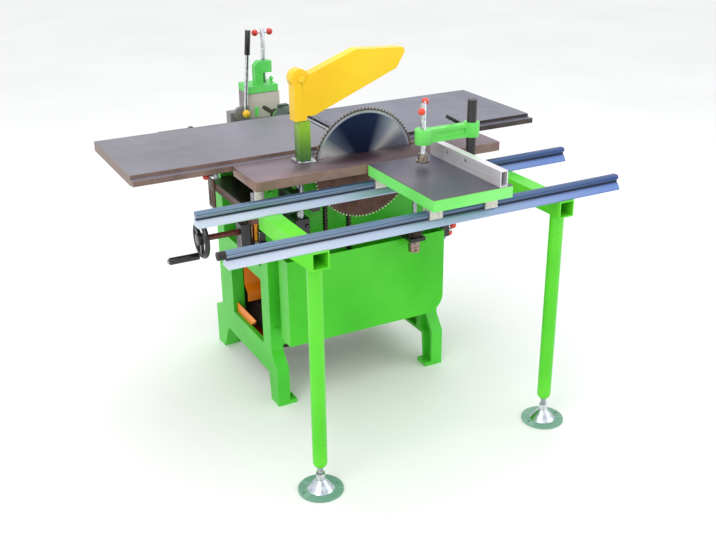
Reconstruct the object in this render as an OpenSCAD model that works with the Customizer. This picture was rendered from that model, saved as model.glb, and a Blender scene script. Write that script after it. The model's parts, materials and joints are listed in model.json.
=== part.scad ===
// Combination woodworking machine: surface planer and thicknesser with a saw
// bench, a sliding table on rails and a mortising table, on one spindle.
// Millimetres. Origin on the floor in the middle of the feet, X along the
// planer tables, Y away from the saw side, Z up.

/* [Frame] */
// outer face of an end frame, from the middle
frame_half = 312; // [300:1:326]
// width of the post flanges
post_w = 42; // [34:1:50]
// thickness of the outer web
web_t = 16; // [10:1:22]
// wall round the pockets of a frame casting
rim_t = 12; // [8:1:16]
// front face of posts and front wall
front_y = -235; // [-238:1:-232]
// width of the front post
post_d = 50; // [44:1:50]
// inner edge of the rear post
rear_post_y = 140; // [138:1:142]
// rear edge of the rear post
rear_post_end = 208; // [200:1:212]
// front toe on the floor
toe_y = 275; // [265:1:285]
// width of a toe along Y
toe_w = 60; // [50:1:66]
// height of the vertical part of the toes
toe_h = 130; // [100:1:150]
// height where the splay starts
splay_z = 182; // [176:1:190]
// lower edge of the bottom bar
bar_low = 98; // [85:1:110]
// lower edge of the side opening
open_low = 188; // [180:1:196]
// upper edge of the side opening
open_high = 415; // [405:1:425]
// top of the middle bar
bar_top = 465; // [455:1:480]
// front edge of the side opening
open_front = -170; // [-176:1:-160]
// rear edge of the side opening
open_rear = 95; // [92:1:110]
// inward reach of the floor toes
toe_reach = 24; // [20:1:34]
// thickness of the floor toes
toe_t = 14; // [10:1:20]
// radius of the floor bolt holes
floor_hole_r = 6; // [5:0.5:7]
// floor bolt holes from the middle along Y
floor_bolt_y = 246; // [240:1:250]
// thickness of the long walls
wall_t = 16; // [12:1:18]
// lower edge of the front wall
wall_low = 200; // [190:1:210]
// top of walls and posts
wall_top = 760; // [752:1:761]
// outer face of the rear wall
rear_y = 158; // [156:1:160]

/* [Planer] */
// height of the planer tables
table_z = 850; // [848:1:860]
// depth of the table edges
table_edge = 30; // [26:1:32]
// thickness of the table plate
table_plate = 12; // [10:1:14]
// outer end of the left table
left_end = -716; // [-760:1:-650]
// outer end of the right table
right_end = 641; // [600:1:690]
// front edge of the table lip
lip_y = -258; // [-260:1:-254]
// rear edge of the tables
table_back = 134; // [130:1:138]
// front edge of the lower ledge
ledge_y = -284; // [-284:1:-275]
// height of the ledge top
ledge_z = 840; // [838:1:842]
// thickness of the ledge
ledge_t = 16; // [12:1:18]
// spindle axis along X
spindle_x = -26; // [-30:1:-22]
// spindle axis height
spindle_z = 804; // [803:1:804]
// radius of the cutter block
block_r = 44; // [40:1:44]
// radius swept by the knives
knife_r = 46; // [45:0.5:46]
// half of the gap between the tables
gap_half = 20; // [18:1:24]
// front end of the cutter block
block_front = -216; // [-216:1:-205]
// rear end of the cutter block
block_rear = 139; // [130:1:139]
// angle of the table ways
way_angle = 8; // [6:0.5:9]
// height of the ways near the spindle
way_z = 805; // [802:1:808]
// start of the ways from the spindle axis
way_start = 90; // [90:1:110]
// clearance of sliding faces
slide_gap = 0.3; // [0.3:0.05:0.6]
// clearance of shafts in their bores
fit = 0.06; // [0.03:0.01:0.1]
// radius of the feed rollers
roller_r = 18; // [14:1:20]
// feed rollers from the spindle axis
roller_off = 70; // [70:1:72]
// height of the feed rollers
roller_z = 770; // [769:1:771]
// radius of the roller journals
journal_r = 8; // [6:0.5:8]

/* [Thicknesser] */
// height of the thicknessing bed
bed_z = 668; // [640:1:690]
// depth of the bed edges
bed_edge = 28; // [22:1:32]
// how far the bed stands out of the left frame
bed_out = 38; // [35:1:39]
// right end of the bed
bed_right = 308; // [290:1:330]
// front edge of the bed
bed_front = -180; // [-180:1:-170]
// rear edge of the bed
bed_back = 135; // [120:1:135]
// from the left frame's face out to the bed screw
screw_out = 35; // [33:1:37]
// bed screw along Y
screw_y = -240; // [-242:1:-238]
// radius of the bed screw
screw_r = 8; // [6:0.5:9]
// radius of the bed nut
nut_r = 11; // [10:0.5:13]
// height of the handwheel axis
wheel_z = 618; // [610:1:625]
// from the left frame's face out to the handwheel
wheel_out = 206; // [188:1:228]
// radius of the rim circle of the handwheel
wheel_r = 52; // [46:1:58]
// radius of the rim bar
rim_r = 8; // [6:0.5:10]
// length of the crank grip
grip_len = 88; // [70:1:100]
// radius of the crank grip
grip_r = 11; // [9:0.5:13]
// radius of the handwheel shaft
wheel_shaft_r = 9; // [7:0.5:11]

/* [Saw] */
// height of the saw table
saw_z = 840; // [838:1:846]
// thickness of the saw table
saw_t = 20; // [16:1:20]
// left end of the saw table
saw_left = -424; // [-440:1:-400]
// right end of the saw table
saw_right = 384; // [370:1:400]
// front edge of the saw table
saw_front = -460; // [-460:1:-456]
// rear edge of the saw table
saw_back = -286; // [-288:1:-286]
// plane of the saw blade
blade_y = -343; // [-344:1:-342]
// radius of the saw blade
blade_r = 170; // [155:1:171]
// thickness of the saw blade
blade_t = 3; // [2.4:0.2:4]
// teeth of the saw blade
blade_teeth = 90; // [60:2:100]
// radius of the spindle at the saw
arbor_r = 12.5; // [10:0.5:13]
// radius of the blade flanges
flange_r = 30; // [24:1:30]
// width of the blade slot
slot_w = 10; // [8:0.5:12]
// left end of the blade slot
slot_left = -204; // [-206:1:-200]
// right end of the blade slot
slot_right = 150; // [147:1:160]
// left column along X
col_x = -222; // [-224:1:-220]
// columns along Y
col_y = -300; // [-302:1:-300]
// radius of the left column
col_r = 12; // [10:0.5:12]
// from the right frame's face in to the right column
col2_in = 23; // [22:1:24]
// radius of the right column
col2_r = 10; // [8:0.5:10]
// lift screw along X
lift_x = 130; // [126:1:134]
// lift screw along Y
lift_y = -380; // [-382:1:-378]
// radius of the lift screw
lift_r = 18; // [15:0.5:19]
// radius of the lift nut
lift_nut_r = 26; // [25:1:28]

/* [Guard] */
// guard post along X
post_x = -226; // [-227:1:-225]
// side of the guard post
post_side = 35; // [34:1:38]
// top of the guard post
post_top = 962; // [950:1:962]
// radius of the guard stem
stem_r = 12; // [10:0.5:12]
// guard pivot along X
pivot_x = -235; // [-236:1:-234]
// guard pivot height
pivot_z = 1085; // [1080:1:1090]
// width of the guard hood
hood_w = 36; // [34:1:40]
// wall of the guard hood
hood_t = 3; // [2:0.5:3]

/* [Rails] */
// middle of the front rail along Y
rail_f = -759; // [-762:1:-756]
// middle of the rear rail along Y
rail_r = -460; // [-461:1:-459]
// underside of the rails
rail_z = 745; // [744:1:746]
// left end of the front rail
rail_f_left = -630; // [-660:1:-610]
// right end of the front rail
rail_f_right = 590; // [580:1:640]
// left end of the rear rail
rail_r_left = -602; // [-640:1:-590]
// right end of the rear rail
rail_r_right = 630; // [600:1:660]
// radius of the rubber stop
stop_r = 11; // [9:0.5:12]
// side of the arm tubes
arm_side = 50; // [44:1:54]
// wall of the arm tubes
arm_wall = 4; // [3:0.5:5]
// middle of the left arm
arm_left = -386; // [-392:1:-380]
// middle of the right arm
arm_right = 395; // [388:1:402]
// open front end of the arms
arm_front = -783; // [-790:1:-781]
// rear end of the arms
arm_back = -436; // [-439:1:-400]
// middle of the legs along Y
leg_y = -742; // [-750:1:-735]
// radius of the legs
leg_r = 21; // [18:0.5:24]
// lower end of the legs
leg_low = 74; // [72:1:80]
// radius of the foot discs
foot_r = 65; // [50:1:75]

/* [Sliding table] */
// left edge of the sliding table
slide_left = -77; // [-90:1:-70]
// right edge of the sliding table
slide_right = 174; // [165:1:190]
// front edge of the sliding table
slide_front = -820; // [-835:1:-810]
// rear edge of the sliding table
slide_back = -463; // [-466:1:-463]
// height of the sliding table
slide_z = 840; // [838:1:842]
// depth of the table rim
slide_deep = 34; // [32:1:36]
// left face of the fence
fence_x = 130; // [110:1:140]
// width of the fence
fence_w = 24; // [20:1:30]
// height of the fence
fence_h = 45; // [35:1:55]
// wall of the fence
fence_t = 3; // [2:0.5:4]
// radius of the fence holes
fence_hole_r = 5; // [4:0.5:6]

/* [Hold-down] */
// hold-down post along X
hold_x = 209; // [204:1:216]
// hold-down post along Y
hold_y = -560; // [-580:1:-540]
// radius of the hold-down post
hold_r = 14; // [11:0.5:16]
// top of the hold-down post
hold_top = 1015; // [990:1:1040]
// lower face of the hold-down arm
hold_low = 908; // [900:1:915]
// height of the hold-down arm
hold_h = 42; // [34:1:46]
// clamp screw along X
press_x = 47; // [30:1:60]
// radius of the clamp screw
press_r = 8; // [6:0.5:9]
// underside of the pad
pad_z = 855; // [855:1:860]

/* [Mortiser] */
// left edge of the mortiser table
mort_left = -77; // [-80:1:-74]
// right edge of the mortiser table
mort_right = 45; // [35:1:60]
// front plane of the mortiser
mort_y = 450; // [450:1:455]
// rear edge of the mortiser table
mort_back = 545; // [530:1:560]
// top of the cross guide
mort_z = 790; // [789:1:790]
// top of the mortiser table
mort_top = 880; // [876:1:885]
// top of the clamp frame
clamp_top = 967; // [955:1:980]
// clamp screw of the mortiser along X
clamp_x = -5; // [-8:1:-2]
// upper end of the clamp screw
clamp_end = 1079; // [1060:1:1100]
// lever pivot along X
lever_x = -95; // [-98:1:-92]
// lever pivot height
lever_z = 789; // [785:1:792]
// top of the lever
lever_top = 1085; // [1040:1:1120]
// lean of the lever from upright
lever_lean = 4.8; // [3:0.1:6]
// radius of the chuck
chuck_r = 20; // [16:1:22]
// radius of the bit
bit_r = 8; // [5:0.5:10]
// tip of the bit
bit_tip = 428; // [400:1:428]

/* [Drive] */
// motor axis along X
motor_x = -170; // [-174:1:-166]
// motor axis height
motor_z = 150; // [146:1:150]
// radius of the motor over its ribs
motor_r = 78; // [70:1:79]
// radius of the motor pulley
motor_pulley_r = 68; // [60:1:70]
// radius of the spindle pulley
spindle_pulley_r = 36; // [32:1:37]
// thickness of the belt
belt_t = 8; // [6:0.5:8]
// sprocket radius under the feed chain
sprocket_r = 33; // [28:1:34]
// thickness of the feed chain
chain_t = 13; // [10:0.5:13]
// front face of the cover box
cover_front = -340; // [-340:1:-330]
// top of the cover box
cover_top = 530; // [515:1:532]
// underside of the cover box
cover_low = 244; // [238:1:260]
// left side of the cover box
cover_left = -290; // [-300:1:-280]
// right side of the cover box
cover_right = 268; // [255:1:270]
// sheet thickness
sheet = 3; // [2:0.5:4]

/* [Hidden] */
$fn = 72;
e = 0.5;
post_in = frame_half - post_w;
left_face = -frame_half;
screw_x = left_face - screw_out;
wheel_x = left_face - wheel_out;
bed_left = left_face - bed_out;
col2_x = frame_half - col2_in;
lock_x = frame_half + 8;
front_in = front_y + wall_t;
rear_in = rear_y - wall_t;
post_back = front_y + post_d;
tan_way = tan(way_angle);
table_low = table_z - table_edge;
left_len = spindle_x - left_end;
right_len = right_end - spindle_x;
roller_l = spindle_x - roller_off;
roller_rr = spindle_x + roller_off;
bed_low = bed_z - bed_edge;
saw_low = saw_z - saw_t;
col_top = saw_low;
slide_low = slide_z - slide_deep;
arm_low = rail_z - arm_side;
lift_seat = 552;
nut_h = 24;
mort_axis_y = 467;
hold_mid = hold_low + hold_h / 2;
box_back = -272;
chain_front = -300;
chain_back = -284;
chain_low_z = 430;
belt_y0 = 190;
belt_y1 = 216;
cover_y = 236;
ring_r = 34;

function way_at(u) = way_z - (u - 50) * tan_way;

module block(x, y, z) {
  translate([x[0], y[0], z[0]])
    cube([x[1] - x[0], y[1] - y[0], z[1] - z[0]]);
}

module rod_x(x, y, z, r) {
  translate([x[0], y, z])
    rotate([0, 90, 0])
      cylinder(h = x[1] - x[0], r = r);
}

module rod_y(y, x, z, r) {
  translate([x, y[1], z])
    rotate([90, 0, 0])
      cylinder(h = y[1] - y[0], r = r);
}

module rod_z(z, x, y, r) {
  translate([x, y, z[0]])
    cylinder(h = z[1] - z[0], r = r);
}

module hex_y(y, x, z, r) {
  translate([x, y[1], z])
    rotate([90, 0, 0])
      cylinder(h = y[1] - y[0], r = r, $fn = 6);
}

module hex_x(x, y, z, r) {
  translate([x[0], y, z])
    rotate([0, 90, 0])
      cylinder(h = x[1] - x[0], r = r, $fn = 6);
}

module hex_z(z, x, y, r) {
  translate([x, y, z[0]])
    cylinder(h = z[1] - z[0], r = r, $fn = 6);
}

// outline drawn in X and Z, pushed along Y
module along_y(y) {
  translate([0, y[1], 0])
    rotate([90, 0, 0])
      linear_extrude(y[1] - y[0])
        children();
}

// outline drawn in Y and Z, pushed along X
module along_x(x) {
  translate([x[0], 0, 0])
    rotate([90, 0, 90])
      linear_extrude(x[1] - x[0])
        children();
}

function arc(c, r, a0, a1) =
  [for (i = [0:24]) c + r * [cos(a0 + (a1 - a0) * i / 24), sin(a0 + (a1 - a0) * i / 24)]];

// round ends and the straight sides that touch both, as one outline
module loop(c1, r1, c2, r2) {
  t = atan2(c2[1] - c1[1], c2[0] - c1[0]);
  w = acos((r1 - r2) / norm(c2 - c1));
  polygon(concat(arc(c1, r1, t + w, t + 360 - w), arc(c2, r2, t - w, t + w)));
}

module end_frame() {
  difference() {
    along_x([post_in, frame_half])
      polygon([[-toe_y, 0], [-toe_y, toe_h], [front_y, splay_z], [front_y, wall_top],
        [post_back, wall_top], [post_back, bar_top], [rear_post_y, bar_top],
        [rear_post_y, wall_top], [rear_post_end, wall_top], [rear_post_end, splay_z - 10],
        [toe_y, toe_h + 18], [toe_y, 0], [toe_y - toe_w, 0], [160, bar_low],
        [-206, bar_low], [toe_w - toe_y, 0]]);
    block([post_in - 1, frame_half + 1], [open_front, open_rear], [open_low, open_high]);
    along_x([post_in - 1, frame_half - web_t])
      polygon([[rim_t - toe_y, rim_t], [rim_t - toe_y, toe_h - 3],
        [front_y + rim_t, splay_z], [front_y + rim_t, wall_top - rim_t],
        [post_back - rim_t, wall_top - rim_t], [post_back - rim_t, bar_low + 24],
        [-218, bar_low + 8], [toe_w - toe_y - 9, rim_t]]);
    along_x([post_in - 1, frame_half - web_t])
      polygon([[rear_post_y + rim_t, wall_top - rim_t],
        [rear_post_end - rim_t, wall_top - rim_t], [rear_post_end - rim_t, splay_z - 14],
        [toe_y - rim_t, toe_h + 12], [toe_y - rim_t, rim_t], [toe_y - toe_w + 8, rim_t],
        [170, bar_low + 10], [rear_post_y + rim_t, bar_low + 20]]);
    block([post_in - 1, frame_half - web_t], [post_back, rear_post_y - rim_t],
      [open_high + rim_t, bar_top - rim_t]);
    block([post_in - 1, frame_half - web_t], [open_front, rear_post_y - rim_t],
      [bar_low + rim_t, open_low + 1]);
  }
  for (s = [-1, 1])
    difference() {
      block([post_in - toe_reach, post_in],
        [s > 0 ? toe_y - toe_w + 4 : -toe_y, s > 0 ? toe_y : toe_w - toe_y - 4], [0, toe_t]);
      rod_z([-1, toe_t + 1], post_in - toe_reach / 2, s * floor_bolt_y, floor_hole_r);
    }
}

module left_end_frame() {
  color([0.3, 0.8, 0.2])
    mirror([1, 0, 0])
      end_frame();
}

module right_end_frame() {
  color([0.3, 0.8, 0.2])
    end_frame();
}

// sloping strips the planer tables slide on
module ways(y) {
  for (side = [0, 1])
    along_y(y)
      translate([spindle_x, 0])
        mirror([side, 0])
          polygon([[way_start, wall_top], [way_start, way_at(way_start)],
            [post_in + (side > 0 ? spindle_x : -spindle_x),
              way_at(post_in + (side > 0 ? spindle_x : -spindle_x))],
            [post_in + (side > 0 ? spindle_x : -spindle_x), wall_top]]);
}

module front_wall() {
  color([0.3, 0.8, 0.2]) {
    block([-post_in, post_in], [front_y, front_in], [wall_low, wall_top]);
    ways([front_y - 4, front_in + 4]);
  }
}

module rear_wall() {
  color([0.3, 0.8, 0.2]) {
    difference() {
      block([-post_in, post_in], [rear_in, rear_y], [100, wall_top]);
      rod_y([rear_in - 1, rear_y + 1], motor_x, motor_z, 22);
    }
    ways([rear_in - 30, rear_y]);
  }
}

module chip_chute() {
  color([1, 0.55, 0]) {
    along_x([-post_in, post_in])
      polygon([[88 - sheet, 430], [88, 430], [88, 286], [60 + sheet, 264],
        [60 + sheet, 231], [60, 231], [60, 265.5], [88 - sheet, 287.5]]);
    for (s = [0, 1])
      mirror([s, 0, 0]) {
        along_x([300 - sheet, 300])
          polygon([[-30, open_low], [open_rear - 5, open_low],
            [open_rear - 5, open_low + 36], [-80, open_low + 36]]);
        block([280, 300], [-30, open_rear - 5], [open_low, open_low + sheet]);
      }
  }
}

module cover_outline(t) {
  r = 60 - t;
  translate([cover_left + t, cover_low + t])
    square([cover_right - cover_left - 2 * t - r, cover_top - cover_low]);
  translate([cover_right - t - r, cover_low + t + r])
    square([r, cover_top - cover_low - r]);
  translate([cover_right - t - r, cover_low + t + r])
    circle(r);
}

module front_cover_box() {
  color([0.3, 0.8, 0.2]) {
    difference() {
      along_y([cover_front, box_back])
        cover_outline(0);
      along_y([cover_front + sheet, box_back - sheet])
        cover_outline(sheet);
      block([cover_left - 1, cover_right + 1], [cover_front - 1, box_back + 1],
        [cover_top, cover_top + 99]);
    }
    for (x = [cover_left + 40, cover_right - 40], z = [cover_low + 70, cover_top - 50])
      rod_y([box_back, front_y], x, z, 8);
  }
}

module cover_loop(t) {
  loop([spindle_x, spindle_z], 50 - t, [motor_x, motor_z], 97 - t);
}

module rear_belt_cover() {
  color([0.25, 0.3, 0.27]) {
    difference() {
      along_y([rear_y, cover_y])
        cover_loop(0);
      along_y([rear_y - 1, cover_y - sheet])
        cover_loop(sheet);
      rod_y([rear_y, cover_y + 1], spindle_x, spindle_z, arbor_r + 3);
    }
    difference() {
      block([spindle_x - 24, spindle_x + 12], [cover_y, cover_y + 16], [770, 857]);
      rod_y([cover_y - 1, cover_y + 17], spindle_x, spindle_z, arbor_r + fit);
    }
  }
}

module chuck_guard() {
  color([0.3, 0.8, 0.2]) {
    difference() {
      union() {
        rod_y([255, 272], spindle_x, spindle_z, ring_r);
        for (a = [90, 210, 330])
          translate([spindle_x, 0, spindle_z])
            rotate([0, -a, 0])
              block([ring_r - 4, ring_r + 13], [255, 272], [-7, 7]);
      }
      rod_y([254, 273], spindle_x, spindle_z, arbor_r + 1);
    }
    for (a = [90, 210, 330])
      rod_y([a == 90 ? cover_y + 16 : cover_y, 255.5],
        spindle_x + ring_r * cos(a), spindle_z + ring_r * sin(a), 5);
  }
}

module motor_body() {
  color([0.25, 0.13, 0.08]) {
    difference() {
      union() {
        along_y([-25, 115])
          translate([motor_x, motor_z])
            polygon([for (i = [0:95])
              (i % 4 < 2 ? motor_r : motor_r - 8) * [cos(3.75 * i), sin(3.75 * i)]]);
        rod_y([-40, -25], motor_x, motor_z, motor_r - 4);
        rod_y([115, 130], motor_x, motor_z, motor_r - 4);
        block([motor_x - 60, motor_x + 60], [130, rear_in], [104, 210]);
        block([motor_x - 96, motor_x - 40], [-38, 50], [motor_z - 50, motor_z - 10]);
      }
      rod_y([90, rear_in + 1], motor_x, motor_z, 12 + fit);
      rod_y([-39, -24], motor_x - 82, motor_z - 30, 6);
    }
    rod_y([-45, -40], motor_x, motor_z, 40);
  }
}

module spindle_bearings() {
  color([0.3, 0.3, 0.3])
    for (y = [[front_y - 5, front_in + 1], [rear_in - 1, rear_y + 6]]) {
      difference() {
        union() {
          rod_y(y, spindle_x, spindle_z, block_r - 2);
          block([spindle_x - 34, spindle_x + 34], y, [wall_top, spindle_z]);
        }
        rod_y([y[0] - 1, y[1] + 1], spindle_x, spindle_z, 15 + fit);
      }
      for (x = [roller_l, roller_rr])
        difference() {
          block([x - 19, x + 19], [y[0], min(y[1], rear_y)], [wall_top, roller_z + 28]);
          rod_y([y[0] - 1, y[1] + 1], x, roller_z, journal_r + fit);
        }
    }
}

module feed_chain() {
  top = [roller_l, roller_z];
  low = [roller_l, chain_low_z];
  color([0.15, 0.15, 0.15]) {
    difference() {
      along_y([chain_front, chain_back])
        loop(low, sprocket_r + e + chain_t, top, sprocket_r + e + chain_t);
      along_y([chain_front - 1, chain_back + 1])
        loop(low, sprocket_r + e, top, sprocket_r + e);
    }
    rod_y([chain_front, chain_back], low[0], low[1], sprocket_r + e);
    rod_y([chain_back, box_back - sheet], low[0], low[1], 14);
  }
}

module drive_belt() {
  a = [spindle_x, spindle_z];
  b = [motor_x, motor_z];
  color([0.1, 0.1, 0.1])
    difference() {
      along_y([belt_y0, belt_y1])
        loop(a, spindle_pulley_r + belt_t, b, motor_pulley_r + belt_t);
      along_y([belt_y0 - 1, belt_y1 + 1])
        loop(a, spindle_pulley_r + slide_gap, b, motor_pulley_r + slide_gap);
    }
}

module support_brackets() {
  color([0.12, 0.12, 0.12]) {
    for (x = [left_face + 47, frame_half - 112]) {
      block([x, x + 25], [rail_r - 20, front_y], [rail_z - 12, rail_z]);
      block([x, x + 25], [front_y - 12, front_y], [640, rail_z - 12]);
      along_x([x + 9, x + 16])
        polygon([[front_y - 12, rail_z - 12], [rail_r + 20, rail_z - 12],
          [front_y - 12, 640]]);
    }
    difference() {
      block([col_x - 22, col_x + 22], [col_y - 18, front_y], [600, 650]);
      rod_z([599, 651], col_x, col_y, col_r + fit);
    }
    hex_y([col_y - 24, col_y - 18], col_x + 14, 625, 8);
    difference() {
      block([post_in + 5, frame_half - 9], [col_y - 16, front_y], [495, 535]);
      rod_z([494, 536], col2_x, col_y, col2_r + fit);
      rod_x([col2_x, lock_x], col_y, 512, 5 + fit);
    }
    difference() {
      block([lift_x - 26, lift_x + 26], [lift_y - 28, front_y], [lift_seat - 12, lift_seat]);
      rod_z([530, 560], lift_x, lift_y, lift_r + e);
    }
    along_x([lift_x - 10, lift_x + 10])
      polygon([[front_y, lift_seat - 12], [front_y - 33, lift_seat - 12], [front_y, 490]]);
  }
}

module rail(y, x0, x1) {
  along_x([x0, x1])
    translate([y, rail_z])
      polygon([[-20, 0], [20, 0], [20, 4], [12, 16], [6, 21], [6, 27], [11, 31],
        [11, 37], [8, 42], [-8, 42], [-11, 37], [-11, 31], [-6, 27], [-6, 21],
        [-12, 16], [-20, 4]]);
}

module front_rail() {
  color([0.62, 0.66, 0.72])
    rail(rail_f, rail_f_left, rail_f_right);
}

module rear_rail() {
  color([0.62, 0.66, 0.72])
    rail(rail_r, rail_r_left, rail_r_right);
}

module rail_stop() {
  color([0.08, 0.08, 0.08])
    rod_x([rail_f_left - 21, rail_f_left], rail_f, rail_z + 33, stop_r);
}

module arm(x) {
  difference() {
    block([x - arm_side / 2, x + arm_side / 2], [arm_front, arm_back], [arm_low, rail_z]);
    block([x - arm_side / 2 + arm_wall, x + arm_side / 2 - arm_wall],
      [arm_front - 1, arm_back + 1], [arm_low + arm_wall, rail_z - arm_wall]);
  }
  difference() {
    union() {
      rod_z([leg_low + leg_r, arm_low], x, leg_y, leg_r);
      translate([x, leg_y, leg_low + leg_r])
        sphere(leg_r);
    }
    rod_z([leg_low - 1, leg_low + 90], x, leg_y, 8 + fit);
  }
}

module left_arm() {
  color([0.4, 0.95, 0.2]) {
    arm(arm_left);
    along_y([arm_front, arm_front + 13])
      polygon([[arm_left - arm_side / 2, rail_z], [arm_left - arm_side / 2 - 60, rail_z],
        [arm_left - arm_side / 2, arm_low]]);
  }
}

module right_arm() {
  color([0.4, 0.95, 0.2])
    arm(arm_right);
}

module gear_housing() {
  color([0.1, 0.1, 0.1]) {
    difference() {
      block([left_face - 88, left_face - 60], [-262, -218], [546, 645]);
      rod_x([left_face - 89, left_face - 59], screw_y, wheel_z, wheel_shaft_r + fit);
    }
    difference() {
      block([left_face - 60, left_face], [-262, -190], [546, 570]);
      rod_z([552, 571], screw_x, screw_y, screw_r + fit);
    }
    block([left_face - 18, left_face], [-234, -190], [570, 600]);
  }
  color([0.8, 0.8, 0.8])
    for (y = [-226, -200])
      hex_x([left_face - 23, left_face - 18], y, 588, 6);
}

module mortiser_support() {
  color([0.3, 0.8, 0.2]) {
    for (x = [-215, 60])
      block([x, x + 16], [rear_y, 390], [480, 700]);
    block([-215, 76], [390, 410], [480, 757]);
    block([-100, -40], [410, 422], [500, 712]);
  }
}

module frame_bolts() {
  color([0.75, 0.75, 0.75])
    for (s = [-1, 1]) {
      for (z = [261, 640, 720])
        hex_y([front_y - 6, front_y], s * (post_in + 21), z, 8);
      for (z = [300, 480, 640, 720])
        hex_y([rear_post_end, rear_post_end + 6], s * (post_in + 21), z, 8);
    }
}

module cutter_block() {
  color([0.6, 0.6, 0.62])
    along_y([block_front, block_rear])
      translate([spindle_x, spindle_z]) {
        difference() {
          circle(block_r);
          for (a = [20, 140, 260])
            rotate(a)
              polygon([[1.5, 32], [1.5, 60], [16, 60], [12, 38]]);
        }
        for (a = [20, 140, 260])
          rotate(a)
            polygon([[-1.5, 38], [1.5, 38], [1.5, knife_r - 3], [-1.5, knife_r - 0.1]]);
      }
}

module spindle_shaft() {
  color([0.7, 0.7, 0.7]) {
    difference() {
      rod_y([blade_y - 23, front_y - 5], spindle_x, spindle_z, arbor_r);
      rod_y([blade_y - 24, blade_y - 15], spindle_x, spindle_z, 4);
    }
    rod_y([front_y - 5, block_front], spindle_x, spindle_z, 15);
    rod_y([block_rear, 186], spindle_x, spindle_z, 15);
    rod_y([186, 276], spindle_x, spindle_z, arbor_r);
    rod_y([belt_y0, belt_y1], spindle_x, spindle_z, spindle_pulley_r);
    for (y = [[blade_y - 7, blade_y - blade_t / 2], [blade_y + blade_t / 2, blade_y + 7]])
      rod_y(y, spindle_x, spindle_z, flange_r);
    hex_y([blade_y - 19, blade_y - 7], spindle_x, spindle_z, 19);
  }
}

module saw_blade() {
  color([0.8, 0.8, 0.82])
    along_y([blade_y - blade_t / 2, blade_y + blade_t / 2])
      translate([spindle_x, spindle_z])
        difference() {
          polygon([for (i = [0:2 * blade_teeth - 1])
            (i % 2 == 0 ? blade_r : blade_r - 8) *
              [cos(180 * (i + (i % 2) * 0.7) / blade_teeth),
               sin(180 * (i + (i % 2) * 0.7) / blade_teeth)]]);
          circle(arbor_r);
        }
}

module mortise_chuck() {
  color([0.3, 0.3, 0.3])
    difference() {
      union() {
        rod_y([276, 326], spindle_x, spindle_z, chuck_r);
        rod_y([326, 340], spindle_x, spindle_z, chuck_r - 6);
      }
      for (a = [0, 120, 240])
        translate([spindle_x, 300, spindle_z])
          rotate([0, a, 0])
            rod_z([chuck_r - 8, chuck_r + 2], 0, 0, 3);
    }
  color([0.2, 0.2, 0.2])
    difference() {
      rod_y([340, bit_tip], spindle_x, spindle_z, bit_r);
      for (s = [0, 180])
        translate([spindle_x, 0, spindle_z])
          rotate([0, s, 0])
            block([2, bit_r + 1], [360, bit_tip + 1], [bit_r / 4, bit_r + 1]);
    }
}

module motor_pulley() {
  color([0.35, 0.35, 0.35]) {
    rod_y([100, 222], motor_x, motor_z, 12);
    difference() {
      rod_y([belt_y0, belt_y1], motor_x, motor_z, motor_pulley_r);
      for (a = [0:60:300])
        rod_y([belt_y0 - 1, belt_y1 + 1], motor_x + 40 * cos(a), motor_z + 40 * sin(a), 12);
    }
  }
}

module roller(x, y_end) {
  rod_y([block_front, block_rear], x, roller_z, roller_r);
  rod_y([y_end, block_front], x, roller_z, journal_r);
  rod_y([block_rear, rear_y - 1], x, roller_z, journal_r);
}

module outfeed_roller() {
  color([0.65, 0.65, 0.65]) {
    roller(roller_l, chain_front - 8);
    difference() {
      rod_y([chain_front, chain_back], roller_l, roller_z, sprocket_r);
      for (a = [0:72:288])
        rod_y([chain_front - 1, chain_back + 1], roller_l + 21 * cos(a),
          roller_z + 21 * sin(a), 5);
    }
  }
}

module infeed_roller() {
  color([0.65, 0.65, 0.65])
    roller(roller_rr, front_y - 15);
}

module thickness_bed() {
  color([0.45, 0.25, 0.18]) {
    difference() {
      block([bed_left, bed_right], [bed_front, bed_back], [bed_low, bed_z]);
      for (i = [0:3])
        block([bed_left + 12 + i * (bed_right - bed_left - 12) / 4,
          bed_left + (i + 1) * (bed_right - bed_left - 12) / 4],
          [bed_front + 12, bed_back - 12], [bed_low - 1, bed_z - 10]);
    }
    difference() {
      block([screw_x - 17, screw_x + 27], [-262, bed_front], [bed_low, bed_z]);
      rod_z([bed_low - 1, bed_z + 1], screw_x, screw_y, screw_r + fit);
    }
    difference() {
      block([bed_left - 6, bed_left], [90, 145], [575, 676]);
      for (y = [102, 124])
        block([bed_left - 7, bed_left + 1], [y, y + 9], [586, 634]);
    }
  }
}

module bed_nut() {
  color([0.8, 0.6, 0.2])
    difference() {
      union() {
        rod_z([578, bed_low], screw_x, screw_y, nut_r);
        rod_z([bed_low - 5, bed_low], screw_x, screw_y, nut_r + 5);
      }
      rod_z([577, bed_low + 1], screw_x, screw_y, screw_r + fit);
    }
  color([0.75, 0.75, 0.75])
    block([screw_x - 5, screw_x + 26], [-262, -257], [bed_z, 750]);
}

module bed_screw() {
  color([0.7, 0.7, 0.7]) {
    rod_z([552, 735], screw_x, screw_y, screw_r);
    rod_z([570, 575], screw_x, screw_y, screw_r + 4);
  }
}

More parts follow.
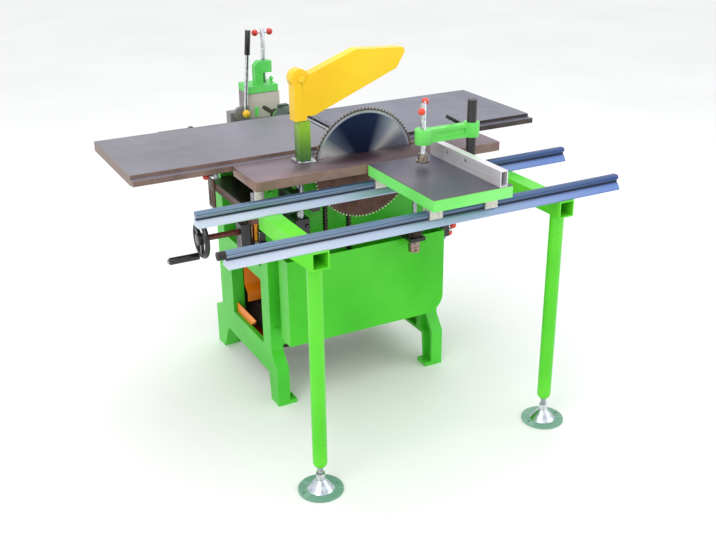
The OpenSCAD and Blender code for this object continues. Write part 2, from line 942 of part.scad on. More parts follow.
module bed_handwheel() {
  color([0.08, 0.08, 0.08]) {
    translate([wheel_x, screw_y, wheel_z])
      rotate([0, 90, 0])
        rotate_extrude()
          translate([wheel_r, 0])
            circle(rim_r, $fn = 24);
    for (a = [30, 150, 270])
      translate([wheel_x, screw_y, wheel_z])
        rotate([a, 0, 0])
          block([-5, 5], [10, wheel_r - 4], [-6, 6]);
    rod_x([wheel_x - 14, wheel_x + 12], screw_y, wheel_z, 18);
    rod_x([wheel_x - grip_len - 20, wheel_x], screw_y, wheel_z - wheel_r, 4);
    rod_x([wheel_x - grip_len - 20, wheel_x - grip_len - 16], screw_y, wheel_z - wheel_r, 7);
  }
  color([0.45, 0.2, 0.12])
    rod_x([wheel_x + 12, left_face - 56], screw_y, wheel_z, wheel_shaft_r);
}

module crank_grip() {
  color([0.05, 0.05, 0.05])
    difference() {
      rod_x([wheel_x - grip_len - 15, wheel_x - 12], screw_y, wheel_z - wheel_r, grip_r);
      rod_x([wheel_x - grip_len - 16, wheel_x], screw_y, wheel_z - wheel_r, 4 + fit);
    }
}

// one planer table, drawn to the right of the spindle axis
module table(len) {
  plate_low = table_z - table_plate;
  translate([spindle_x, 0, 0]) {
    along_y([lip_y, table_back])
      polygon([[gap_half, table_z], [len, table_z], [len, table_low],
        [len - 12, table_low], [len - 12, plate_low], [60, plate_low],
        [60, table_low], [46.5, table_low], [40, 830], [30, 840.5],
        [gap_half, table_z - 4]]);
    for (y = [[lip_y, lip_y + 12], [table_back - 12, table_back]])
      block([60, len - 12], y, [table_low, plate_low]);
    for (u = [200, 340, 480])
      block([u, u + 10], [lip_y + 12, table_back - 12], [table_low + 4, plate_low]);
    for (y = [[front_y - 4, front_in + 4], [table_back - 20, table_back - 12]])
      along_y(y)
        polygon([[92, plate_low], [92, way_at(92) + slide_gap + 0.01],
          [250, way_at(250) + slide_gap + 0.01], [250, plate_low]]);
    along_y([ledge_y, lip_y])
      polygon([[46.5 + 8, ledge_z - ledge_t], [46.5 + 8, ledge_z - 3], [50, ledge_z],
        [len, ledge_z], [len, ledge_z - ledge_t]]);
  }
}

module left_table() {
  color([0.58, 0.56, 0.6]) {
    translate([spindle_x, 0, 0])
      mirror([1, 0, 0])
        translate([-spindle_x, 0, 0])
          table(left_len);
    rod_y([table_back, table_back + 30], -395, 835, 5);
    rod_y([table_back + 30, table_back + 33], -395, 835, 9);
    rod_z([806, table_z - table_plate], -455, -225, 9);
    rod_z([793, 806], -455, -225, 4);
    rod_z([790, 793], -455, -225, 6);
  }
}

module right_table() {
  color([0.58, 0.56, 0.6])
    difference() {
      table(right_len);
      for (i = [0:19], u = [28, 38])
        rod_z([820, table_z + 1], spindle_x + u, lip_y + 16 + i * 19, 2.5);
    }
}

module table_lever() {
  color([0.06, 0.06, 0.06])
    difference() {
      union() {
        rod_y([table_back + 14, table_back + 29.7], -395, 835, 13);
        rod_x([-506, -400], table_back + 22, 838, 7);
      }
      rod_y([table_back, table_back + 31], -395, 835, 5 + fit);
    }
}

module table_lock() {
  color([0.85, 0.1, 0.05]) {
    difference() {
      union() {
        rod_z([793.3, 805.7], -455, -225, 8);
        rod_x([-485, -455], -225, 801, 4);
      }
      rod_z([790, 810], -455, -225, 4 + fit);
    }
    translate([-485, -225, 801])
      rotate([0, 0, 90])
        sphere(10);
  }
}

module saw_table() {
  color([0.55, 0.5, 0.55]) {
    difference() {
      block([saw_left, saw_right], [saw_front, saw_back], [saw_low, saw_z]);
      block([slot_left, slot_right], [blade_y - slot_w / 2, blade_y + slot_w / 2],
        [saw_low - 1, saw_z + 1]);
      block([spindle_x - flange_r - 4, spindle_x + flange_r + 4], [blade_y - 26, blade_y + 20],
        [saw_low - 1, saw_z - 4]);
    }
    block([saw_left, saw_right], [saw_front, saw_front + 10], [saw_low - 8, saw_low]);
    for (x = [saw_left, saw_right - 10])
      block([x, x + 10], [saw_front + 10, saw_back - 4], [saw_low - 8, saw_low]);
  }
  color([0.1, 0.1, 0.1]) {
    block([saw_right - 54, saw_right - 12], [-400, -352], [790, saw_low]);
    for (x = [saw_right - 45, saw_right - 21])
      hex_y([-406, -400], x, 804, 7);
  }
}

module saw_columns() {
  color([0.6, 0.6, 0.62]) {
    rod_z([545, col_top], col_x, col_y, col_r);
    rod_z([485, col_top], col2_x, col_y, col2_r);
    rod_z([500, lift_seat + nut_h], lift_x, lift_y, lift_r);
    rod_z([lift_seat + nut_h, col_top], lift_x, lift_y, 7);
  }
}

module lift_nut() {
  color([0.15, 0.15, 0.15])
    difference() {
      rod_z([lift_seat + 0.1, lift_seat + nut_h], lift_x, lift_y, lift_nut_r);
      rod_z([lift_seat - 1, lift_seat + nut_h + 1], lift_x, lift_y, lift_r + fit);
      for (a = [0:90:270])
        translate([lift_x, lift_y, lift_seat + nut_h / 2])
          rotate([0, 90, a + 45])
            translate([0, 0, lift_nut_r - 6])
              cylinder(h = 10, r = 4);
    }
}

module guard_post() {
  color([0.3, 0.8, 0.2])
    difference() {
      union() {
        block([post_x - post_side / 2, post_x + post_side / 2],
          [blade_y - post_side / 2, blade_y + post_side / 2], [saw_z, post_top]);
        block([post_x - 27, post_x + 27], [blade_y - 27, blade_y + 27], [saw_z, saw_z + 6]);
      }
      rod_z([saw_z + 5, post_top + 1], post_x, blade_y, stem_r + fit);
    }
  color([0.7, 0.7, 0.7])
    for (x = [-22, 22], y = [-22, 22])
      hex_z([saw_z + 6, saw_z + 9], post_x + x, blade_y + y, 3.4);
}

module guard_stem() {
  color([0.7, 0.7, 0.7])
    difference() {
      union() {
        rod_z([saw_z + 10, pivot_z - 20], post_x, blade_y, stem_r);
        block([pivot_x - 5, post_x + 10], [blade_y - 10, blade_y + 10],
          [pivot_z - 40, pivot_z]);
        rod_y([blade_y - 10, blade_y + 10], pivot_x, pivot_z, 15);
        rod_y([blade_y - hood_w / 2 - 6, blade_y + hood_w / 2 + 6], pivot_x, pivot_z, 6);
        for (y = [[blade_y - hood_w / 2 - 6, blade_y - hood_w / 2 - 0.3],
          [blade_y + hood_w / 2 + 0.3, blade_y + hood_w / 2 + 6]])
          hex_y(y, pivot_x, pivot_z, 11);
      }
    }
}

module blade_guard() {
  color([1, 0.85, 0.1])
    difference() {
      along_y([blade_y - hood_w / 2, blade_y + hood_w / 2]) {
        polygon([[-256, 964], [-218, 964], [-218, 976], [-192, 976], [75, 1083],
          [103, 1129], [97, 1141], [-58, 1150], [-209, 1094], [-235, 1100], [-256, 1085]]);
        translate([pivot_x, pivot_z])
          circle(27);
      }
      along_y([blade_y - hood_w / 2 + hood_t, blade_y + hood_w / 2 - hood_t]) {
        polygon([[-253, 950], [-253, 1085], [-209, 1090.5], [-58, 1146.8], [95, 1138],
          [99.5, 1129], [71, 1082], [71, 1060], [-192, 955], [-218, 950]]);
        translate([pivot_x, pivot_z])
          circle(24);
      }
      rod_y([blade_y - 30, blade_y + 30], pivot_x, pivot_z, 6 + fit);
    }
}

module column_lock() {
  color([0.7, 0.7, 0.7]) {
    rod_x([col2_x + col2_r + e, lock_x + 2], col_y, 512, 5);
    translate([lock_x, col_y, 512])
      rotate([-55, 0, 0])
        rod_y([-16, 16], 0, 0, 4);
  }
  color([0.85, 0.1, 0.05])
    for (s = [-1, 1])
      translate([lock_x, col_y, 512])
        rotate([-55, 0, 0])
          translate([0, s * 20, 0])
            sphere(11);
}

module sliding_frame() {
  color([0.3, 0.8, 0.2])
    difference() {
      block([slide_left, slide_right], [slide_front, slide_back], [slide_low, slide_z - 2]);
      for (i = [0:2])
        block([slide_left + 10, slide_right - 10],
          [slide_front + 60 + i * 85, slide_front + 135 + i * 85],
          [slide_low - 1, slide_z - 10]);
    }
}

module sliding_top() {
  color([0.6, 0.58, 0.62])
    block([slide_left, slide_right], [slide_front, slide_back], [slide_z - 2, slide_z]);
}

module carriage(y, y0, y1) {
  for (x = [slide_left + 17, slide_right - 57])
    along_x([x, x + 40])
      translate([y, 0])
        polygon([[y0, slide_low], [y1, slide_low], [y1, slide_low - 12], [18, slide_low - 12],
          [18, rail_z + 22], [7.5, rail_z + 22], [7.5, rail_z + 26], [12, rail_z + 30],
          [12, rail_z + 42 + slide_gap], [-12, rail_z + 42 + slide_gap], [-12, rail_z + 30],
          [-7.5, rail_z + 26], [-7.5, rail_z + 22], [-18, rail_z + 22],
          [-18, slide_low - 12], [y0, slide_low - 12]]);
}

module carriage_brackets() {
  color([0.8, 0.8, 0.82]) {
    carriage(rail_f, -26, 26);
    carriage(rail_r, -44, 18);
  }
}

module cross_fence() {
  color([0.75, 0.77, 0.8])
    difference() {
      block([fence_x, fence_x + fence_w], [slide_front - 1, slide_back - 3],
        [slide_z, slide_z + fence_h]);
      block([fence_x + fence_t, fence_x + fence_w - fence_t],
        [slide_front - 2, slide_back], [slide_z + fence_t, slide_z + fence_h - fence_t]);
      for (y = [-650, -558])
        rod_x([fence_x - 1, fence_x + fence_w + 1], y, slide_z + 29, fence_hole_r);
    }
}

module hold_post() {
  color([0.1, 0.1, 0.1])
    difference() {
      union() {
        block([slide_right, hold_x + 22], [hold_y - 24, hold_y + 24],
          [slide_low, slide_z - 2]);
        rod_z([slide_low, hold_top], hold_x, hold_y, hold_r);
      }
      for (y = [-17, 17])
        rod_x([slide_right + 20, hold_x + 23], hold_y + y, slide_low + 16, 4);
    }
}

module hold_arm() {
  color([0.3, 0.8, 0.2])
    difference() {
      union() {
        block([press_x, hold_x], [hold_y - 13, hold_y + 13], [hold_low + 2, hold_low + hold_h - 2]);
        rod_z([hold_low, hold_low + hold_h], hold_x, hold_y, 23);
        rod_z([hold_low, hold_low + hold_h], press_x, hold_y, 24);
      }
      rod_z([hold_low - 1, hold_low + hold_h + 1], hold_x, hold_y, hold_r + fit);
      rod_z([hold_low - 1, hold_low + hold_h + 1], press_x, hold_y, press_r + fit);
      for (s = [-1, 1])
        block([press_x + 28, hold_x - 27], [hold_y + s * 12 - 3, hold_y + s * 12 + 3],
          [hold_low + 12, hold_low + hold_h - 12]);
      rod_y([hold_y + 16, hold_y + 24], hold_x, hold_mid, 4 + fit);
    }
}

module hold_lever() {
  color([0.06, 0.06, 0.06]) {
    rod_y([hold_y + 17, hold_y + 24], hold_x, hold_mid, 4);
    rod_y([hold_y + 23.4, hold_y + 36], hold_x, hold_mid, 9);
    translate([hold_x, hold_y + 30.5, hold_mid])
      rotate([0, -60, 0])
        rod_z([0, 76], 0, 0, 5);
  }
}

module hold_screw() {
  color([0.75, 0.75, 0.77]) {
    rod_z([pad_z + 14, 1022], press_x, hold_y, press_r);
    translate([press_x, hold_y, hold_top])
      rotate([0, 90, 54])
        cylinder(h = 116, r = 4, center = true);
  }
  color([0.12, 0.12, 0.12]) {
    rod_z([pad_z, pad_z + 5], press_x, hold_y, 20);
    rod_z([pad_z + 5, pad_z + 24], press_x, hold_y, 14);
  }
  color([0.85, 0.1, 0.05])
    for (s = [-1, 1])
      translate([press_x + s * 60 * cos(54), hold_y + s * 60 * sin(54), hold_top])
        sphere(10);
}

module mortiser_knee() {
  color([0.45, 0.45, 0.47])
    difference() {
      union() {
        block([-150, 95], [410 + slide_gap, 446], [640, 745]);
        block([-150, 95], [446, 505], [720, 745]);
        block([-145, 95], [462, 505], [745, mort_z]);
      }
      block([-100 - slide_gap, -40 + slide_gap], [400, 422 + slide_gap], [639, 746]);
    }
}

module mortiser_slide() {
  color([0.4, 0.4, 0.42]) {
    block([mort_left, mort_right], [456, mort_back], [mort_z + slide_gap, 820]);
    block([mort_left, mort_right], [456, 462 - slide_gap], [762, mort_z + slide_gap]);
    block([mort_left, mort_right], [505 + slide_gap, 515], [762, mort_z + slide_gap]);
    block([-30, 0], [462, 538], [820, 826]);
    difference() {
      union() {
        block([-107, mort_left], [446, 461.7], [760, 812]);
        rod_y([446, 461.7], -107, 786, 26);
      }
      rod_y([440, 470], lever_x, lever_z, 5 + fit);
    }
  }
  color([0.85, 0.8, 0.65]) {
    block([mort_left, mort_right], [mort_y, 456], [762, 853]);
    block([-54, -40], [mort_y - 3, mort_y], [770, 803]);
  }
}

module mortiser_body() {
  color([0.4, 0.4, 0.42])
    difference() {
      block([mort_left, mort_right], [456 + slide_gap, mort_back], [820 + slide_gap, 855]);
      block([-30 - slide_gap, slide_gap], [450, mort_back + 1], [819, 826 + slide_gap]);
    }
}

module mortiser_clamp() {
  color([0.3, 0.8, 0.2]) {
    block([mort_left, mort_right - 5], [mort_y - 2, mort_back], [855, mort_top]);
    difference() {
      along_y([mort_axis_y - 16, mort_axis_y + 16])
        polygon([[-45, mort_top], [-15, mort_top], [-15, 925], [20, 925],
          [20, clamp_top], [-30, clamp_top], [-45, clamp_top - 16]]);
      rod_z([920, clamp_top + 1], clamp_x, mort_axis_y, 8 + fit);
    }
    rod_z([mort_top, mort_top + 14], 22.5, mort_axis_y, 5);
    translate([22.5, mort_axis_y, mort_top + 19])
      sphere(8);
  }
}

module clamp_screw() {
  color([0.75, 0.75, 0.77]) {
    rod_z([mort_top + 5, clamp_end], clamp_x, mort_axis_y, 8);
    rod_x([clamp_x - 24, clamp_x + 24], mort_axis_y, clamp_end - 12, 4);
  }
  color([0.85, 0.1, 0.05])
    for (s = [-1, 1])
      translate([clamp_x + s * 28, mort_axis_y, clamp_end - 12])
        rotate([0, 0, 90])
          sphere(12);
}

module mortiser_lever() {
  color([0.75, 0.75, 0.77])
    rod_y([431, 458], lever_x, lever_z, 5);
  translate([lever_x, 438, lever_z])
    rotate([0, lever_lean, 0]) {
      color([0.75, 0.75, 0.77])
        cylinder(h = 214, r = 7);
      color([0.06, 0.06, 0.06])
        rod_z([210, lever_top - lever_z], 0, 0, 10);
    }
  color([1, 0.85, 0.1])
    translate([lever_x, 431, lever_z])
      rotate([0, 90, 0])
        sphere(14);
}

module foot(x) {
  difference() {
    rod_z([0, 6], x, leg_y, foot_r);
    for (s = [-1, 1])
      rod_z([-1, 7], x + s * 52, leg_y, 5);
  }
  translate([x, leg_y, 5])
    cylinder(h = 31, r1 = 40, r2 = 13);
  hex_z([35, 56], x, leg_y, 14);
  rod_z([55, leg_low + 70], x, leg_y, 8);
}

module left_foot() {
  color([0.6, 0.6, 0.62])
    foot(arm_left);
}

module right_foot() {
  color([0.6, 0.6, 0.62])
    foot(arm_right);
}

left_end_frame();
right_end_frame();
front_wall();
rear_wall();
chip_chute();
front_cover_box();
rear_belt_cover();
chuck_guard();
motor_body();
spindle_bearings();
feed_chain();
drive_belt();
support_brackets();
front_rail();
rear_rail();
rail_stop();
left_arm();
right_arm();
gear_housing();
mortiser_support();
frame_bolts();
cutter_block();
spindle_shaft();
saw_blade();
mortise_chuck();
motor_pulley();
outfeed_roller();
infeed_roller();
thickness_bed();
bed_nut();
bed_screw();
bed_handwheel();
crank_grip();
left_table();
right_table();
table_lever();
table_lock();
saw_table();
saw_columns();
lift_nut();
guard_post();
guard_stem();
blade_guard();
column_lock();
sliding_frame();
sliding_top();
carriage_brackets();
cross_fence();
hold_post();
hold_arm();
hold_lever();
hold_screw();
mortiser_knee();
mortiser_slide();
mortiser_body();
mortiser_clamp();
clamp_screw();
mortiser_lever();
left_foot();
right_foot();
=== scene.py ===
"""Looks of the combination woodworking machine: enamelled castings, ground tables, a polished saw blade,
chain, threads and screws, set round the fixed frame."""

import json
import math

import bmesh
import bpy
from mathutils import Matrix, Vector


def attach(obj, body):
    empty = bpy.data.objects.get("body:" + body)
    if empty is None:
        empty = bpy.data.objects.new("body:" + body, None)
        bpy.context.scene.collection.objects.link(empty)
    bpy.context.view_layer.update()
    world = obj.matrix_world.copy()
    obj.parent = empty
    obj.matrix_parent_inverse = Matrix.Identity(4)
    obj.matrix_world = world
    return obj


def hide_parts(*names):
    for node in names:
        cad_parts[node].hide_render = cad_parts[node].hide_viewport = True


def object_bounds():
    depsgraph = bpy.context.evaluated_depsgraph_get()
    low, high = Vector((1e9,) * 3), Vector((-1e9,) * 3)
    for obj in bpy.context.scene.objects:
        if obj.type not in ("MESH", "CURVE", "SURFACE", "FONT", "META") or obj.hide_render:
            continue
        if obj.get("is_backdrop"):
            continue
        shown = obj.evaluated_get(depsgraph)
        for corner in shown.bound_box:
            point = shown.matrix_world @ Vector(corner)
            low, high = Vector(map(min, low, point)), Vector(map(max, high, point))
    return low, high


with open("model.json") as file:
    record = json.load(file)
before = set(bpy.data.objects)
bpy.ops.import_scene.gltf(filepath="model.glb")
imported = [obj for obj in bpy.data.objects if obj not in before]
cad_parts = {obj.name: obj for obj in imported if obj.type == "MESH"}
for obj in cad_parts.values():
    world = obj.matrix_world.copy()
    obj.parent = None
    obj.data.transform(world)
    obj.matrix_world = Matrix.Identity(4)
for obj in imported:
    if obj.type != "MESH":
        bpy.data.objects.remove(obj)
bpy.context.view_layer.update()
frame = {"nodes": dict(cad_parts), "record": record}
NODES = frame["nodes"]
RECORD = frame["record"]
BODY_OF = {node: body for body, nodes in RECORD["behaviour"]["bodies"].items() for node in nodes}
MM = 0.001

# places taken from the construction, in metres
SPINDLE = Vector((-0.026, 0.0, 0.804))
BLADE_Y = -0.343
BLADE_R = 0.170
BLADE_TEETH = 90
GUARD_PIVOT = Vector((-0.235, BLADE_Y, 1.085))
CHAIN_TOP = Vector((-0.096, -0.292, 0.770))
CHAIN_LOW = Vector((-0.096, -0.292, 0.430))
CHAIN_R = 0.040
LIFT = Vector((0.130, -0.380, 0.0))
BED_SCREW = Vector((-0.347, -0.240, 0.0))
PRESS = Vector((0.047, -0.560, 0.0))
MORTISE_SCREW = Vector((-0.005, 0.467, 0.0))
COLUMN_LOCK = Vector((0.320, -0.300, 0.512))
GUARD_POST = Vector((-0.226, BLADE_Y, 0.840))
FOOT_Y = -0.742
FOOT_X = (-0.386, 0.395)
GRIP_Z = 0.566
BED_TOP_Z = 0.668
SAW_TABLE_LOW = 0.820
SAW_TABLE_TOP = 0.840
RAIL_LOW = 0.745
RAIL_HIGH = 0.042
CHAIN_WHEEL_FRONT = -0.300

# finishing: gaps closed before edges are rounded (metres), the sharpest angle left alone, the share
# of a coat that shows on enamel, its shine, and how far a rule stands off the face it picks (metres)
WELD_GAP = 0.00002
MERGE_GAP = 0.00001
SHARP_EDGE = math.radians(32)
CLEAR_COAT = 0.35
ENAMEL_GLOSS = 0.28
NEAR = 0.0005
FLOOR_HALF = 14


# materials
def linear(code):
    """An sRGB hex colour as linear values with alpha."""
    parts = [int(code[i:i + 2], 16) / 255 for i in (1, 3, 5)]
    return [c / 12.92 if c <= 0.04045 else ((c + 0.055) / 1.055) ** 2.4 for c in parts] + [1]


def add(tree, kind, inputs=None, pick=0, stops=None, into=None, **settings):
    """Adds one node: settings are its properties, inputs are numbers, a socket or a list of sockets
    that feed it, stops are a ramp's places with colours or grey values. Hands back output pick, which
    may feed into, or the node itself if pick is None or it has no output."""
    made = tree.nodes.new(kind)
    for key, value in settings.items():
        setattr(made, key, value)
    for key, value in (inputs or {}).items():
        sources = [value] if isinstance(value, bpy.types.NodeSocket) else value
        if isinstance(sources, list) and isinstance(sources[0], bpy.types.NodeSocket):
            for source in sources:
                tree.links.new(source, made.inputs[key])
        else:
            made.inputs[key].default_value = value
    if stops:
        band = made.color_ramp.elements
        while len(band) < len(stops):
            band.new(0.5)
        for element, (spot, tone) in zip(band, stops):
            element.position = spot
            element.color = linear(tone) if isinstance(tone, str) else (tone, tone, tone, 1)
    if pick is None or not made.outputs:
        return made
    if into is not None:
        tree.links.new(made.outputs[pick], into)
    return made.outputs[pick]


def begin(name, **fixed):
    """A material with its shader, the object's own coordinates, and the shader's fixed values."""
    made = bpy.data.materials.new(name)
    made.use_nodes = True
    tree = made.node_tree
    tree.nodes.clear()
    shader = add(tree, "ShaderNodeBsdfPrincipled", {
        key.replace("_", " "): value for key, value in fixed.items()}, pick=None)
    add(tree, "ShaderNodeOutputMaterial", {"Surface": shader.outputs[0]})
    place = add(tree, "ShaderNodeTexCoord", pick="Object")
    return made, tree, shader.inputs, place


def enamel(name, shade, main, bright, rough=0.3, skin_mm=9.0, skin_deep=0.10, coat=0.3, worn=None):
    """Machine enamel sprayed on cast iron or sheet. The eye gets an even, strong colour under a soft
    gloss, slow clouds where the coat is thicker, an orange-peel skin, and paler, rubbed edges."""
    made, tree, shader, place = begin(name, Coat_Weight=coat * CLEAR_COAT, Coat_Roughness=0.12,
                                      Specular_IOR_Level=ENAMEL_GLOSS)
    cloud = add(tree, "ShaderNodeTexNoise", {
        "Vector": place, "Scale": 1000 / 260, "Detail": 2.0, "Roughness": 0.45})
    tone = add(tree, "ShaderNodeValToRGB", {"Fac": cloud}, stops=[
        (0.34, shade), (0.5, main), (0.66, bright)])
    corner = add(tree, "ShaderNodeNewGeometry", pick="Pointiness")
    rub = add(tree, "ShaderNodeTexNoise", {
        "Vector": place, "Scale": 1000 / 30, "Detail": 4.0, "Roughness": 0.7})
    at_edge = add(tree, "ShaderNodeValToRGB", {"Fac": corner}, stops=[(0.52, 0.0), (0.62, 0.5)])
    rubbed = add(tree, "ShaderNodeMath", {0: at_edge, 1: rub}, operation="MULTIPLY")
    add(tree, "ShaderNodeMix", {0: rubbed, 6: tone, 7: linear(worn or bright)}, pick=2,
        into=shader["Base Color"], data_type="RGBA")
    add(tree, "ShaderNodeValToRGB", {"Fac": rub}, into=shader["Roughness"], stops=[
        (0.3, rough - 0.05), (0.75, rough + 0.09)])
    skin = add(tree, "ShaderNodeTexNoise", {
        "Vector": place, "Scale": 1000 / skin_mm, "Detail": 1.0, "Roughness": 0.4})
    add(tree, "ShaderNodeBump", {"Height": skin, "Distance": skin_deep * MM, "Strength": 0.6},
        into=shader["Normal"])
    return made


def ground_iron(name, dark, main, light, edge_dark, edge, along_x=True, rough=0.36, stain=None):
    """Grey cast iron, ground flat on top and painted brown at its sides. The eye gets a calm metal
    sheen with faint parallel grinding lines (about 0.3 mm on the machine, drawn 2.5 mm so that they
    show), slow cloudy oil marks, a resin stain that darkens it near the blade, and a dull brown edge."""
    made, tree, shader, place = begin(name)
    lines = (0.02, 1, 1) if along_x else (1, 0.02, 1)
    drawn = add(tree, "ShaderNodeMapping", {"Vector": place, "Scale": lines})
    streak = add(tree, "ShaderNodeTexNoise", {
        "Vector": drawn, "Scale": 1000 / 2.5, "Detail": 2.0, "Roughness": 0.5})
    cloud = add(tree, "ShaderNodeTexNoise", {
        "Vector": place, "Scale": 1000 / 420, "Detail": 2.0, "Roughness": 0.5})
    oil = add(tree, "ShaderNodeValToRGB", {"Fac": cloud}, stops=[(0.34, dark), (0.5, main), (0.68, light)])
    lined = add(tree, "ShaderNodeValToRGB", {"Fac": streak}, stops=[(0.3, 0.42), (0.7, 0.58)])
    away = add(tree, "ShaderNodeVectorMath", {
        0: place, 1: (0.02, BLADE_Y, SAW_TABLE_TOP)}, pick="Value", operation="DISTANCE")
    near = add(tree, "ShaderNodeMapRange", {
        "Value": away, "From Min": 0.12, "From Max": 0.34, "To Min": 0.85, "To Max": 0.0})
    stained = add(tree, "ShaderNodeMix", {0: near, 6: oil, 7: linear(stain or main)}, pick=2,
                  data_type="RGBA")
    top = add(tree, "ShaderNodeMix", {0: 0.3, 6: stained, 7: lined}, pick=2, data_type="RGBA",
              blend_type="OVERLAY")
    facing = add(tree, "ShaderNodeSeparateXYZ", {0: add(
        tree, "ShaderNodeNewGeometry", pick="Normal")}, pick="Z")
    up = add(tree, "ShaderNodeValToRGB", {"Fac": facing}, stops=[(0.55, 0.0), (0.8, 1.0)])
    scuff = add(tree, "ShaderNodeTexNoise", {
        "Vector": place, "Scale": 1000 / 70, "Detail": 3.0, "Roughness": 0.6})
    side = add(tree, "ShaderNodeValToRGB", {"Fac": scuff}, stops=[(0.35, edge_dark), (0.65, edge)])
    add(tree, "ShaderNodeMix", {0: up, 6: side, 7: top}, pick=2, into=shader["Base Color"],
        data_type="RGBA")
    add(tree, "ShaderNodeMath", {0: up, 1: 0.5}, into=shader["Metallic"], operation="MULTIPLY")
    add(tree, "ShaderNodeValToRGB", {"Fac": scuff}, into=shader["Roughness"], stops=[
        (0.3, rough - 0.04), (0.75, rough + 0.08)])
    add(tree, "ShaderNodeBump", {"Height": streak, "Distance": 0.006 * MM, "Strength": 0.5},
        into=shader["Normal"])
    return made


def metal(name, dark, light, rough=0.24, grain=(1, 1, 1), grain_mm=6.0, deep=0.006, metallic=1.0):
    """Turned, drawn or plated metal. The eye gets a clear highlight broken by faint lines the way the
    tool ran (drawn a few millimetres wide so that they show) and slightly duller handled places."""
    made, tree, shader, place = begin(name, Metallic=metallic)
    run = add(tree, "ShaderNodeMapping", {"Vector": place, "Scale": grain})
    line = add(tree, "ShaderNodeTexNoise", {
        "Vector": run, "Scale": 1000 / grain_mm, "Detail": 1.0, "Roughness": 0.4})
    touch = add(tree, "ShaderNodeTexNoise", {
        "Vector": place, "Scale": 1000 / 60, "Detail": 3.0, "Roughness": 0.6})
    add(tree, "ShaderNodeValToRGB", {"Fac": line}, into=shader["Base Color"], stops=[
        (0.3, dark), (0.7, light)])
    add(tree, "ShaderNodeValToRGB", {"Fac": touch}, into=shader["Roughness"], stops=[
        (0.3, max(rough - 0.05, 0.05)), (0.75, rough + 0.08)])
    add(tree, "ShaderNodeBump", {"Height": line, "Distance": deep * MM, "Strength": 0.5},
        into=shader["Normal"])
    return made


def moulded(name, dark, light, rough=0.3, coat=0.0, skin_mm=8.0, deep=0.03):
    """Moulded phenolic or rubber, iron that is stove-painted or primed, and the bed top in painted shade. The
    eye gets a deep even colour, a rounded highlight, a faintly uneven skin and dull spots where hands wear
    it."""
    made, tree, shader, place = begin(name, Coat_Weight=coat, Coat_Roughness=0.08)
    spot = add(tree, "ShaderNodeTexNoise", {
        "Vector": place, "Scale": 1000 / 24, "Detail": 3.0, "Roughness": 0.6})
    skin = add(tree, "ShaderNodeTexNoise", {
        "Vector": place, "Scale": 1000 / skin_mm, "Detail": 2.0, "Roughness": 0.5})
    add(tree, "ShaderNodeValToRGB", {"Fac": spot}, into=shader["Base Color"], stops=[
        (0.3, dark), (0.7, light)])
    add(tree, "ShaderNodeValToRGB", {"Fac": spot}, into=shader["Roughness"], stops=[
        (0.3, max(rough - 0.06, 0.05)), (0.75, rough + 0.1)])
    add(tree, "ShaderNodeBump", {"Height": skin, "Distance": deep * MM, "Strength": 0.6},
        into=shader["Normal"])
    return made


def drawn_rail(name):
    """Anodised drawn aluminium. The eye gets bands painted by height: a pale, lit flank, painted shade in
    the groove along the neck and in a thin line under the head, a darker blue-grey head, a painted bluer
    reflection toward the far end, and fine lines along the whole rail (0.2 mm on the machine, drawn 2 mm
    so that they show)."""
    made, tree, shader, place = begin(name, Metallic=0.45)
    run = add(tree, "ShaderNodeMapping", {"Vector": place, "Scale": (0.01, 1, 1)})
    line = add(tree, "ShaderNodeTexNoise", {
        "Vector": run, "Scale": 1000 / 2.0, "Detail": 1.0, "Roughness": 0.4})
    height = add(tree, "ShaderNodeSeparateXYZ", {0: place}, pick="Z")
    level = add(tree, "ShaderNodeMapRange", {
        "Value": height, "From Min": RAIL_LOW, "From Max": RAIL_LOW + RAIL_HIGH})
    # painted light and shade by height: a lit pale flank, painted shade in the grooves, a darker head
    painted_height_shading = add(tree, "ShaderNodeValToRGB", {"Fac": level}, stops=[
        (0.0, "#c9d3e2"), (0.44, "#bdc9db"), (0.5, "#1b2230"), (0.58, "#1b2230"), (0.64, "#93a4b8"),
        (0.8, "#8499b0"), (0.84, "#39475a"), (0.9, "#7990a8"), (1.0, "#66809c")])
    along = add(tree, "ShaderNodeSeparateXYZ", {0: place}, pick="X")
    far = add(tree, "ShaderNodeMapRange", {"Value": along, "From Min": -0.45, "From Max": 0.55})
    # painted reflection: the rail turns bluer toward its far end
    sheen = add(tree, "ShaderNodeValToRGB", {"Fac": far}, stops=[
        (0.0, "#ffffff"), (0.5, "#c6d2e6"), (1.0, "#7f99cf")])
    tinted = add(tree, "ShaderNodeMix", {0: 1.0, 6: painted_height_shading, 7: sheen}, pick=2, data_type="RGBA",
                 blend_type="MULTIPLY")
    lined = add(tree, "ShaderNodeValToRGB", {"Fac": line}, stops=[(0.3, 0.46), (0.7, 0.54)])
    add(tree, "ShaderNodeMix", {0: 0.4, 6: tinted, 7: lined}, pick=2, into=shader["Base Color"],
        data_type="RGBA", blend_type="OVERLAY")
    add(tree, "ShaderNodeValToRGB", {"Fac": line}, into=shader["Roughness"], stops=[
        (0.3, 0.34), (0.7, 0.44)])
    add(tree, "ShaderNodeBump", {"Height": line, "Distance": 0.004 * MM, "Strength": 0.4},
        into=shader["Normal"])
    return made


